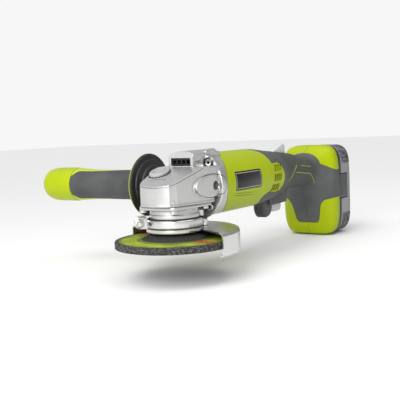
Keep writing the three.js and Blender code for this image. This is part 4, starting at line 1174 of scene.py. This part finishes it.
def sideOf(x, z, lift=0.0):
    # The near side of the outer form at a place along and up the body.
    for a, b in zip(outerSections, outerSections[1:]):
        if x <= b[0]:
            t = (x - a[0]) / (b[0] - a[0])
            top, bottom, half, power = [a[k] + (b[k] - a[k]) * t for k in range(1, 5)]
            up = min(1, abs((z - (top + bottom) / 2) / ((top - bottom) / 2)))
            return (half + lift) * (1 - up ** power) ** (1 / power)
    return 0.0


def footTongue(grow):
    half, shoulder = 15.5 + grow, 19.5 + grow
    right = [(half - 3, -17 - grow), (half, -13), (shoulder, 6), (24, 12 - grow), (40, 16 - grow),
             (40, 46 + grow), (19.7, 58.2 + grow), (10.3, 66.5 + grow)]
    outline = filleted(right + [(-y, z) for y, z in reversed(right)], 2.5, True)
    return loft("tongue",
                [[(x, y, z) for y, z in outline] for x in (bodyLook["footX"] - 60, bodyLook["footX"])])


gripFront = [(128, 110), (128, 81.5), (134, 79.5), (138, 76.5), (140, 70), (141, 64), (141, 37), (135, 37.4),
             (127, 34.5), (122, 31.5), (123.5, 27.5), (127, 24), (130, 18), (130, -20)]


def gripRegion(grow):
    rear = bodyLook["footX"] - 24
    front = filleted([(x - grow, z) for x, z in gripFront], 3, False, 4)
    return join(prism("region", front + [(rear, -20), (rear, 110)], -50, 50), footTongue(grow))


def ventWindow(grow, y0, y1):
    points = filleted([(135, 35.2 - grow), (150, 34 - grow), (161, 34.6 - grow), (168 + grow, 41.5),
                       (169.5 + grow, 52.5), (164 + grow, 63), (158, 66 + grow), (135, 66 + grow)], 3, True)
    return prism("window", points, y0, y1)


triggerLook = {"half": 10, "low": 17.5, "rear": 202.5, "rearTop": 207.5, "guardHalf": 7.2,
               "guardCentre": (164.6, 16), "guardRadii": (10.1, 11.8)}


def triggerBlock(inset):
    look = triggerLook
    points = [(163, 40), (163, look["low"] + inset), (174, look["low"] + inset),
              (look["rear"] - inset, look["low"] + 0.3 + inset), (look["rearTop"] - inset, 33),
              (look["rearTop"] - inset, 40)]
    return prism("block", filleted(points, 1.5, True), -look["half"] + inset, look["half"] - inset)


def fingerGuard():
    half = triggerLook["guardHalf"]
    bow = arc(*triggerLook["guardCentre"], *triggerLook["guardRadii"], 180, 360, 20)
    points = [(154.5, 32)] + bow + [(174.8, 32)]
    return prism("guard", points, -half, half, bevel=3.2, segments=5)


ventLook = {"wall": 1.5, "columns": 4, "pitch": 5.3, "width": 3.9,
            "rows": [(135.6, 36.4, 43.2, 0.4), (138.8, 46.4, 53.8, 1.8), (142, 57, 63.6, 3.4)]}


def ventSlots(side):
    look = ventLook
    cutters = []
    for start, low, high, lean in look["rows"]:
        for i in range(look["columns"]):
            x = start + i * look["pitch"]
            shape = [(x, low), (x + look["width"], low), (x + look["width"] + lean, high), (x + lean, high)]
            cutters.append(prism("slot", filleted(shape, 0.5, True), *sideSpan(side, 15, 60)))
    return cutters


plateLook = {"x": (61.5, 111.5), "z": (43.8, 62), "depth": 1.2, "lineInset": 1.5, "lineHalf": 0.22,
             "line": (0.45, 0.46, 0.45)}


def plateForm(side, grow, depth):
    radius = headLook["barrelRadius"]
    ring = lathe("plate", [(radius - depth, 40), (radius + (2 if grow else 0), 40),
                           (radius + (2 if grow else 0), 140), (radius - depth, 140)], "X", (0, motorZ), 128,
                           True)
    (x0, x1), (z0, z1) = plateLook["x"], plateLook["z"]
    corners = [(x0 - grow, z0 - grow), (x1 + grow, z0 - grow), (x1 + grow, z1 + grow), (x0 - grow, z1 + grow)]
    area = prism("area", filleted(corners, 2, True), *sideSpan(side, 5, 60))
    return keep(ring, area)


def plateFinish():
    # A blank black plate with a thin pale line inside its edge.
    look = plateLook
    finish = Finish("blank nameplate", 0.3)
    tree = finish.tree
    axes = finish.axes()
    texture = finish.use("grain", Scale=1200.0)
    past = []
    for label, (low, high) in (("X", look["x"]), ("Z", look["z"])):
        away = mathNode(tree, "ABSOLUTE", mathNode(tree, "SUBTRACT", axes[label], (low + high) / 2 * mm))
        past.append(mathNode(tree, "SUBTRACT", away, ((high - low) / 2 - look["lineInset"]) * mm))
    reach = mathNode(tree, "ABSOLUTE", mathNode(tree, "MAXIMUM", *past))
    line = stepNode(tree, reach, look["lineHalf"] * mm, (look["lineHalf"] + 0.08) * mm, 1.0, 0.0)
    black = finish.mottled(texture, (0.006, 0.006, 0.006), (0.012, 0.012, 0.012))
    finish.link(mixColour(tree, line, black, look["line"]), "Base Color")
    finish.varyRoughness(texture, 0.26, 0.38)
    finish.bump(texture["Height"], 0.00001)
    return finish.material


def halfOf(obj, side):
    return keep(obj, block("half", 30, 300, *sideSpan(side, seam / 2, 80), -60, 130))


def housing(side, name):
    look = bodyLook
    footX = look["footX"]
    form = carve(bodyForm(0, footX), rod("front", 60, 20, 44.5, "X", (0, motorZ)))
    recess = carve(bodyForm(-3, footX + 5, 48), bodyForm(look["skin"] + seam, footX + 6))
    recess = carve(keep(recess, gripRegion(seam)), ventWindow(-seam, -60, 60))
    nose = carve(rod("nose", 80, 30, headLook["jointX"], "X", (0, motorZ)), jointDrum(0))
    hollow = keep(bodyForm(look["skin"] + look["wall"], footX + look["skin"] + look["wall"], 32),
                  crossSlice(40, footX - 3.5))
    shell = carve(form, recess, nose, hollow)
    holeHalf = look["stemHalf"] + 0.6
    hole = loft("hole", [sectionRing(x, look["stemZ"] + holeHalf, look["stemZ"] - holeHalf, holeHalf, 4, 48)
                         for x in (230, 300)])
    wells = [rod("well", 3.7, y - 3.4, 60, "Y", (x, z), 32) for x, z, y in housingPlaces]
    slots = [block("trigger", 170, 200.5, -6, 6, 0, 45), block("slider", 180.5, 214, -5.4, 5.4, 66, 90)]
    grooves = []
    for z0 in (40.7, 38.4):
        shape = [(62, z0), (108, z0 - 2.4), (108, z0 - 1.9), (62, z0 + 0.5)]
        depth = math.sqrt(headLook["barrelRadius"] ** 2 - (motorZ - z0 + 1) ** 2) - 0.6
        grooves.append(prism("groove", shape, *sideSpan(side, depth, 60)))
    rim = carve(keep(bodyForm(-2, footX + 3, 64), crossSlice(291.2, 292)), bodyForm(0.5, footX + 3))
    thin = keep(bodyForm(ventLook["wall"], footX), ventWindow(-0.6, -60, 60))
    body = carve(halfOf(shell, side), thin, hole, *wells, *slots, *grooves, *ventSlots(side),
                 plateForm(side, seam, 1.5), rim)
    place(body, name + "_moulded", "tool", "lime_plastic", finishes["lime"], [name], 35)
    # A near-black sheet behind the vent slots: painted shadow standing for the dark inside of the body.
    shadowSheet = carve(bodyForm(2.0, footX), bodyForm(2.6, footX + 1))
    shadowSheet = halfOf(keep(shadowSheet, ventWindow(-0.9, -60, 60)), side)
    place(shadowSheet, name.replace("housing", "vent_screen"), "tool", "black_plastic", finishes["soot"], [], 35)
    plate = plateForm(side, 0, plateLook["depth"])
    plateName = "nameplate_left" if side < 0 else "nameplate_right"
    place(bevelled(plate, 0.35), plateName + "_blank", "tool", "black_plastic", plateFinish(), [plateName],
          35)


# The line colour darkens the hatch grooves as painted shade; the edge tone lightens edges partly as scuffs
# and partly as a painted highlight.
gripLook = {"hatchPitch": 0.0048, "hatchFrom": 176, "hatchTo": 262, "hatchLow": 30,
            "shade": (0.066, 0.071, 0.07),
            "light": (0.09, 0.096, 0.095), "line": (0.018, 0.02, 0.02), "rub": (0.16, 0.165, 0.165)}


def gripFinish():
    look = gripLook
    finish = Finish("textured overmould", 0.6)
    tree = finish.tree
    axes = finish.axes()
    texture = finish.use("grain", Scale=1600.0)
    hatch = finish.use("hatch", Pitch=look["hatchPitch"])
    edgesAndHollows = finish.use("wear")
    along = mathNode(tree, "MULTIPLY",
                     stepNode(tree, axes["X"], look["hatchFrom"] * mm, (look["hatchFrom"] + 8) * mm),
                     stepNode(tree, axes["X"], (look["hatchTo"] - 10) * mm, look["hatchTo"] * mm, 1.0, 0.0))
    high = stepNode(tree, axes["Z"], look["hatchLow"] * mm, (look["hatchLow"] + 4) * mm)
    zone = mathNode(tree, "MULTIPLY", along, high)
    shade = finish.mottled(texture, look["shade"], look["light"])
    # Painted shade: the hatch grooves are darkened in colour on top of their bump.
    grooveShaded = mixColour(tree,
                      mathNode(tree, "MULTIPLY", zone, stepNode(tree, hatch["Height"], 0.1, 0.5, 0.95, 0.0)),
                      shade, look["line"])
    # Edges lightened towards the edge tone: partly scuffs, partly a painted highlight.
    edgeLightened = mixColour(tree, mathNode(tree, "MULTIPLY", edgesAndHollows["Wear"], 0.25), grooveShaded, look["rub"])
    finish.link(edgeLightened, "Base Color")
    finish.varyRoughness(texture, 0.52, 0.68)
    ridges = mathNode(tree, "MULTIPLY", mathNode(tree, "MULTIPLY", zone, hatch["Height"]), 6.0)
    finish.bump(mathNode(tree, "ADD", texture["Height"], ridges), 0.00006)
    return finish.material


def grips(material):
    look = bodyLook
    footX = look["footX"]
    for side, name in ((-1, "grip_left"), (1, "grip_right")):
        layer = carve(bodyForm(0, footX), bodyForm(look["skin"], footX + look["skin"]))
        layer = keep(layer, gripRegion(0))
        under = carve(join(fingerGuard(), triggerBlock(0)), bodyForm(look["skin"], footX))
        body = carve(join(layer, under), triggerBlock(look["skin"]))
        wells = [rod("well", 3.9, 6, 60, "Y", (x, z), 32) for x, z, y in housingPlaces]
        body = carve(halfOf(body, side), ventWindow(0, -60, 60),
                     block("trigger", 173.5, 200.8, -6.4, 6.4, 0, 45),
                     block("slider", 180.2, 214.3, -5.7, 5.7, 66, 90), *wells)
        place(body, name + "_overmould", "tool", "grip_rubber", material, [name], 35)


trimLook = {"accents": [[(183.7, 42.5), (210.5, 59.3)], [(222, 58), (248.3, 55)],
                        [(207, 51.2), (245.3, 46.8), (261.1, 34.6)]],
            "steps": 12, "beadRadius": 0.00045, "ribs": 8, "ribRadius": 0.0006, "ribLength": 0.0108}


def gripTrim(material):
    # Lime accent beads on both sides, and ribs round the front of the finger guard.
    look = trimLook
    points, edges = [], []
    for side in (-1, 1):
        for path in look["accents"]:
            for (x0, z0), (x1, z1) in zip(path, path[1:]):
                for n in range(look["steps"] + 1):
                    t = n / look["steps"]
                    x, z = x0 + (x1 - x0) * t, z0 + (z1 - z0) * t
                    points.append((x, side * (sideOf(x, z) - 0.05), z))
                    if n:
                        edges.append((len(points) - 2, len(points) - 1))
    mesh = bpy.data.meshes.new("accents")
    mesh.from_pydata([Vector(p) * mm for p in points], edges, [])
    host = bpy.data.objects.new("accents", mesh)
    scene.collection.objects.link(host)
    beads = grow("accents", host, trees["strip"], finishes["lime"], beadRadius=look["beadRadius"])
    place(beads, "grip_accents", "tool", "lime_plastic", finishes["lime"], [], 60)
    places = arc(*triggerLook["guardCentre"], *triggerLook["guardRadii"], 184, 256, look["ribs"])
    host = pointCloud("ribs", [(x, 0, z) for x, z in places], [(0, 1, 0)] * len(places))
    ribs = grow("ribs", host, trees["rib"], material, ribRadius=look["ribRadius"],
                ribLength=look["ribLength"], sides=12)
    place(ribs, "finger_guard_ribs", "tool", "grip_rubber", material, [], 50)


# Controls: the trigger paddle and the lock-off fin
controlLook = {"paddleBevel": 1.2, "finHalf": 5, "finBevel": 0.9, "keeperHalf": 8.4}


def controls():
    look = controlLook
    low, high = boxOf("trigger")
    points = [(175.2, 31), (175.2, 17)] + arc(180.4, 14, 5.2, 5.8, 180, 270, 6)[1:] + [(192, 8.3)]
    points += arc(192.4, 13.4, 5.0, 5.0, -90, 0, 6)[1:] + [(198.6, 21), (198.6, 26.4), (185, 30.4)]
    paddle = prism("paddle", points, low.y, high.y, bevel=look["paddleBevel"], segments=3)
    carve(paddle, block("room", 184, 192, -3.4, 3.4, 23, 40))
    place(paddle, "trigger_paddle", "trigger", "pale_plastic", finishes["pale"], ["trigger"], 40)
    fin = [(186, 64), (212.2, 64), (212.2, 77)] + arc(207.6, 79, 4.6, 6.2, 0, 80, 6)[1:]
    fin += [(199, 81.8), (190, 78.5), (186, 77.4)]
    slider = prism("slider", fin, -look["finHalf"], look["finHalf"], bevel=look["finBevel"], segments=3)
    join(slider, block("keeper", 188, 210, -look["keeperHalf"], look["keeperHalf"], 62.6, 64.6))
    place(slider, "lock_off_fin", "lock_off", "pale_plastic", finishes["pale"], ["lock_off_slider"], 40)


# Battery
packLook = {"splitX": 302, "endX": 333, "inset": 0.8, "around": 96, "groove": (324.2, 325),
            "band": (328.6, 332.6),
            "grey": (0.27, 0.275, 0.285), "greyDark": (0.23, 0.235, 0.245), "padLight": (0.24, 0.245, 0.255),
            "padDark": (0.03, 0.03, 0.032)}


def packForm(x0, x1, inset, grow=0.0):
    foot = bodySections[-1]
    rings = []
    steps = [(x0, inset + 0.8), (x0 + 0.5, inset + 0.25), (x0 + 1.5, inset), (x1 - 6, inset),
             (x1 - 3.4, inset + 0.5), (x1 - 1.4, inset + 1.6), (x1 - 0.4, inset + 3), (x1, inset + 4.6)]
    for x, i in steps:
        rings.append(sectionRing(x, foot["top"] - 1 - i + grow, foot["bottom"] + 1 + i - grow,
                                 foot["half"] - packLook["inset"] - i + grow, foot["power"],
                                 packLook["around"]))
    return loft("pack", rings)


def latchPocket(side, grow):
    return block("pocket", 296.6 - grow, 320.5 + grow, *sideSpan(side, 28.5 - grow, 40), 11.5 - grow,
                 42.5 + grow)


def padFinish():
    # Rubbery corner pads with a pebbled surface.
    finish = Finish("pebbled corner pad", 0.7)
    tree = finish.tree
    cells = shaderNode(tree, "TexVoronoi", Scale=420.0)
    tree.links.new(finish.coords, cells.inputs["Vector"])
    texture = finish.use("grain", Scale=1200.0)
    shade = mixColour(tree, stepNode(tree, cells.outputs["Distance"], 0.25, 0.6), packLook["padLight"],
                      packLook["padDark"])
    finish.link(mixColour(tree, stepNode(tree, texture["Cloud"], 0.45, 0.75), shade, (0.12, 0.122, 0.128)),
                "Base Color")
    finish.varyRoughness(texture, 0.62, 0.78)
    finish.bump(cells.outputs["Distance"], 0.0004, 0.6)
    return finish.material


def battery():
    look = packLook
    footX = bodyLook["footX"]
    pockets = [latchPocket(side, seam) for side in (-1, 1)]
    lid = keep(packForm(footX + seam, look["endX"], 0), crossSlice(200, look["splitX"]))
    under = keep(packForm(look["splitX"] - 3, look["endX"], 3), crossSlice(200, 303))
    carve(lid, under)
    stemHalf, stemZ = bodyLook["stemHalf"], bodyLook["stemZ"]
    stem = loft("stem", [sectionRing(x, stemZ + stemHalf - i, stemZ - stemHalf + i, stemHalf - i, 4, 48)
                         for x, i in ((246, 1.6), (246.6, 0.6), (248, 0), (footX + 2, 0))])
    contacts = [block("contact", 240, 253, y - 1, y + 1, 42, 52) for y in (-7, 0, 7)]
    carve(join(lid, stem), *pockets, *contacts)
    place(lid, "battery_top_shell", "battery", "black_plastic", finishes["black"], ["battery_top"], 35)
    case = keep(packForm(footX + seam, look["endX"], 0), crossSlice(look["splitX"] + seam, 340))
    room = keep(packForm(footX, look["endX"] - 3, 3), crossSlice(200, 330))
    groove = carve(keep(packForm(footX, look["endX"], 0, 2), crossSlice(*look["groove"])),
                   packForm(footX - 1, look["endX"] + 6, 0.6))
    carve(case, room, *[latchPocket(side, seam) for side in (-1, 1)], groove)
    place(case, "battery_case_shell", "battery", "grey_plastic", batteryFinish(), ["battery_case"], 35)
    pads = None
    for side in (-1, 1):
        for z0, z1 in ((-60, -8), (56, 130)):
            area = block("corner", 306, 331, *sideSpan(side, 20, 60), z0, z1)
            corner = keep(packForm(footX, look["endX"] - 0.2, 0, 0.45), area)
            corner = carve(corner, packForm(footX - 1, look["endX"] + 4, 0.5))
            pads = corner if pads is None else join(pads, corner)
    place(pads, "battery_corner_pads", "battery", "black_plastic", padFinish(), [], 35)


def batteryFinish():
    # Grey moulding with a black band round its rear edge.
    finish = Finish("grey battery shell", 0.42)
    tree = finish.tree
    texture = finish.use("grain", Scale=900.0)
    edgesAndHollows = finish.use("wear")
    shade = finish.mottled(texture, packLook["greyDark"], packLook["grey"])
    # Painted shade: hollows and creases darkened towards black.
    hollowShaded = mixColour(tree, mathNode(tree, "MULTIPLY", edgesAndHollows["Dirt"], 0.7), shade, (0.04, 0.04, 0.042))
    start, end = packLook["band"]
    band = finish.within(finish.axes()["X"], start * mm, end * mm, 0.2 * mm)
    finish.link(mixColour(tree, band, hollowShaded, (0.02, 0.02, 0.021)), "Base Color")
    finish.varyRoughness(texture, 0.36, 0.5)
    finish.bump(texture["Height"], 0.00003)
    return finish.material


latchLook = {"ribX": 308.5, "ribs": 9, "margin": 4, "ribRadius": 0.0006, "ribLength": 0.018}


def latches():
    look = latchLook
    for side, name in ((-1, "latch_left"), (1, "latch_right")):
        low, high = boxOf(name)
        body = block("latch", low.x, high.x, low.y, high.y, low.z, high.z, 1.2, 3)
        face = low.y if side < 0 else high.y
        count, start = look["ribs"], low.z + look["margin"]
        pitch = (high.z - look["margin"] - start) / (count - 1)
        points = [(look["ribX"], face, start + i * pitch) for i in range(count)]
        place(body, name + "_pad", name, "grey_plastic", finishes["greyDark"], [name], 40)
        ribs = grow("ribs", pointCloud("ribs", points, [(1, 0, 0)] * count), trees["rib"],
                    finishes["greyDark"], ribRadius=look["ribRadius"], ribLength=look["ribLength"], sides=12)
        place(ribs, name + "_ribs", name, "grey_plastic", finishes["greyDark"], [], 50)


# CAD nodes that stay as they are get their own finishes
def dressFrame():
    looks = {
        "steel": ["motor_shaft", "front_bearing", "rear_bearing", "handle_stud"],
        "zinc": ["lock_spring", "trigger_spring", "spindle_bearing", "spindle_bush", "lock_pin"],
        # The exhaust louvre gets the near-black finish as painted shadow for the dark vent.
        "dark": ["crown_gear", "drive_pinion", "armature_core", "magnet_can"],
        "soot": ["exhaust_louvre"], "black": ["cooling_fan", "switch_block", "terminal_block"],
        "copper": ["commutator"], "carbon": ["brush_left", "brush_right"], "lime": ["battery_cells"],
    }
    for look, names in looks.items():
        for name in names:
            nodes[name].material_slots[0].material = finishes[look]


gearCase()
print("gear case done")
bearingRetainer()
screws()
print("retainer and screws done")
grindingWheel()
spindleParts()
print("wheel and spindle done")
wheelGuard()
clampParts()
lockButton()
print("guard, clamp and lock done")
sideHandle()
for side, name in ((-1, "housing_left"), (1, "housing_right")):
    housing(side, name)
print("housing done")
rubber = gripFinish()
grips(rubber)
gripTrim(rubber)
controls()
print("grips and controls done")
battery()
latches()
dressFrame()
print("battery done")


# The pale floor, the sky and the soft lights
studioLook = {"skyDark": 0.34, "skyBright": 0.8, "skyDirection": (-0.75, 0.35, 0.55), "skySpan": (-0.6, 0.8),
              "backdrop": 0.93, "floor": 0.88, "floorHalf": 6000, "floorGap": 0.3,
              "sun": 1.15, "sunWidth": 0.7, "sunFrom": (-0.6, 0.1, 0.9),
              "key": {"power": 4.4, "place": (-0.75, -0.2, 0.35), "target": (0, 0, 0.05), "size": (0.5, 0.4)},
              "top": {"power": 1.2, "place": (0.15, -0.35, 0.8), "target": (0.15, 0, 0), "size": (0.8, 0.15)}}


def plainStage():
    look = studioLook
    floorZ, half = boxOf("housing_left")[0].z - look["floorGap"], look["floorHalf"]
    corners = [(x * half, y * half, floorZ) for x, y in ((-1, -1), (1, -1), (1, 1), (-1, 1))]
    floor = makeObject("floor", corners, [(0, 1, 2, 3)])
    material = bpy.data.materials.new("pale floor")
    material.use_nodes = True
    shader = material.node_tree.nodes["Principled BSDF"]
    shader.inputs["Base Color"].default_value = (look["floor"], look["floor"], look["floor"], 1)
    shader.inputs["Roughness"].default_value = 0.9
    floor.data.materials.append(material)
    world = bpy.data.worlds.new("studio")
    world.use_nodes = True
    tree = world.node_tree
    # The sky is brighter on the left and above than on the far right.
    coords = tree.nodes.new("ShaderNodeTexCoord")
    split = tree.nodes.new("ShaderNodeVectorMath")
    split.operation = "DOT_PRODUCT"
    split.inputs[1].default_value = look["skyDirection"]
    tree.links.new(coords.outputs["Generated"], split.inputs[0])
    sky = tree.nodes.new("ShaderNodeMapRange")
    values = (*look["skySpan"], look["skyDark"], look["skyBright"])
    for label, value in zip(("From Min", "From Max", "To Min", "To Max"), values):
        sky.inputs[label].default_value = value
    tree.links.new(split.outputs["Value"], sky.inputs["Value"])
    path = tree.nodes.new("ShaderNodeLightPath")
    # The backdrop looks brighter than the light it gives.
    level = tree.nodes.new("ShaderNodeMapRange")
    tree.links.new(sky.outputs[0], level.inputs["To Min"])
    level.inputs["To Max"].default_value = look["backdrop"]
    tree.links.new(path.outputs["Is Camera Ray"], level.inputs["Value"])
    tree.links.new(level.outputs[0], tree.nodes["Background"].inputs["Strength"])
    tree.nodes["Background"].inputs["Color"].default_value = (1, 1, 1, 1)
    scene.world = world


def softLight(name, power, place, target, size):
    data = bpy.data.lights.new(name, "AREA")
    data.shape = "RECTANGLE"
    data.size, data.size_y = size
    data.energy = power
    aimLight(name, data, place, target)


def aimLight(name, data, place, target):
    obj = bpy.data.objects.new(name, data)
    scene.collection.objects.link(obj)
    obj.location = place
    obj.rotation_euler = (Vector(target) - Vector(place)).to_track_quat("-Z", "Y").to_euler()


def studio():
    look = studioLook
    sun = bpy.data.lights.new("sun", "SUN")
    sun.energy = look["sun"]
    sun.angle = look["sunWidth"]
    aimLight("sun", sun, look["sunFrom"], (0, 0, 0))
    for name in ("key", "top"):
        softLight(name, **look[name])
    scene.view_settings.view_transform = "Standard"


cameraLook = {"lens": 63.45, "sensor": 36, "nearest": 0.01, "place": (-0.5211, -0.3943, 0.1048),
              "right": (0.5692, -0.8210, -0.0446), "forward": (0.8153, 0.5705, -0.0991)}


def camera():
    look = cameraLook
    data = bpy.data.cameras.new("camera")
    data.lens = look["lens"]
    data.sensor_width = look["sensor"]
    data.clip_start = look["nearest"]
    obj = bpy.data.objects.new("camera", data)
    scene.collection.objects.link(obj)
    right, forward = Vector(look["right"]).normalized(), Vector(look["forward"]).normalized()
    up = right.cross(forward).normalized()
    turn = Matrix((right, up, -forward)).transposed().to_4x4()
    obj.matrix_world = Matrix.Translation(look["place"]) @ turn
    scene.camera = obj


plainStage()
studio()
camera()
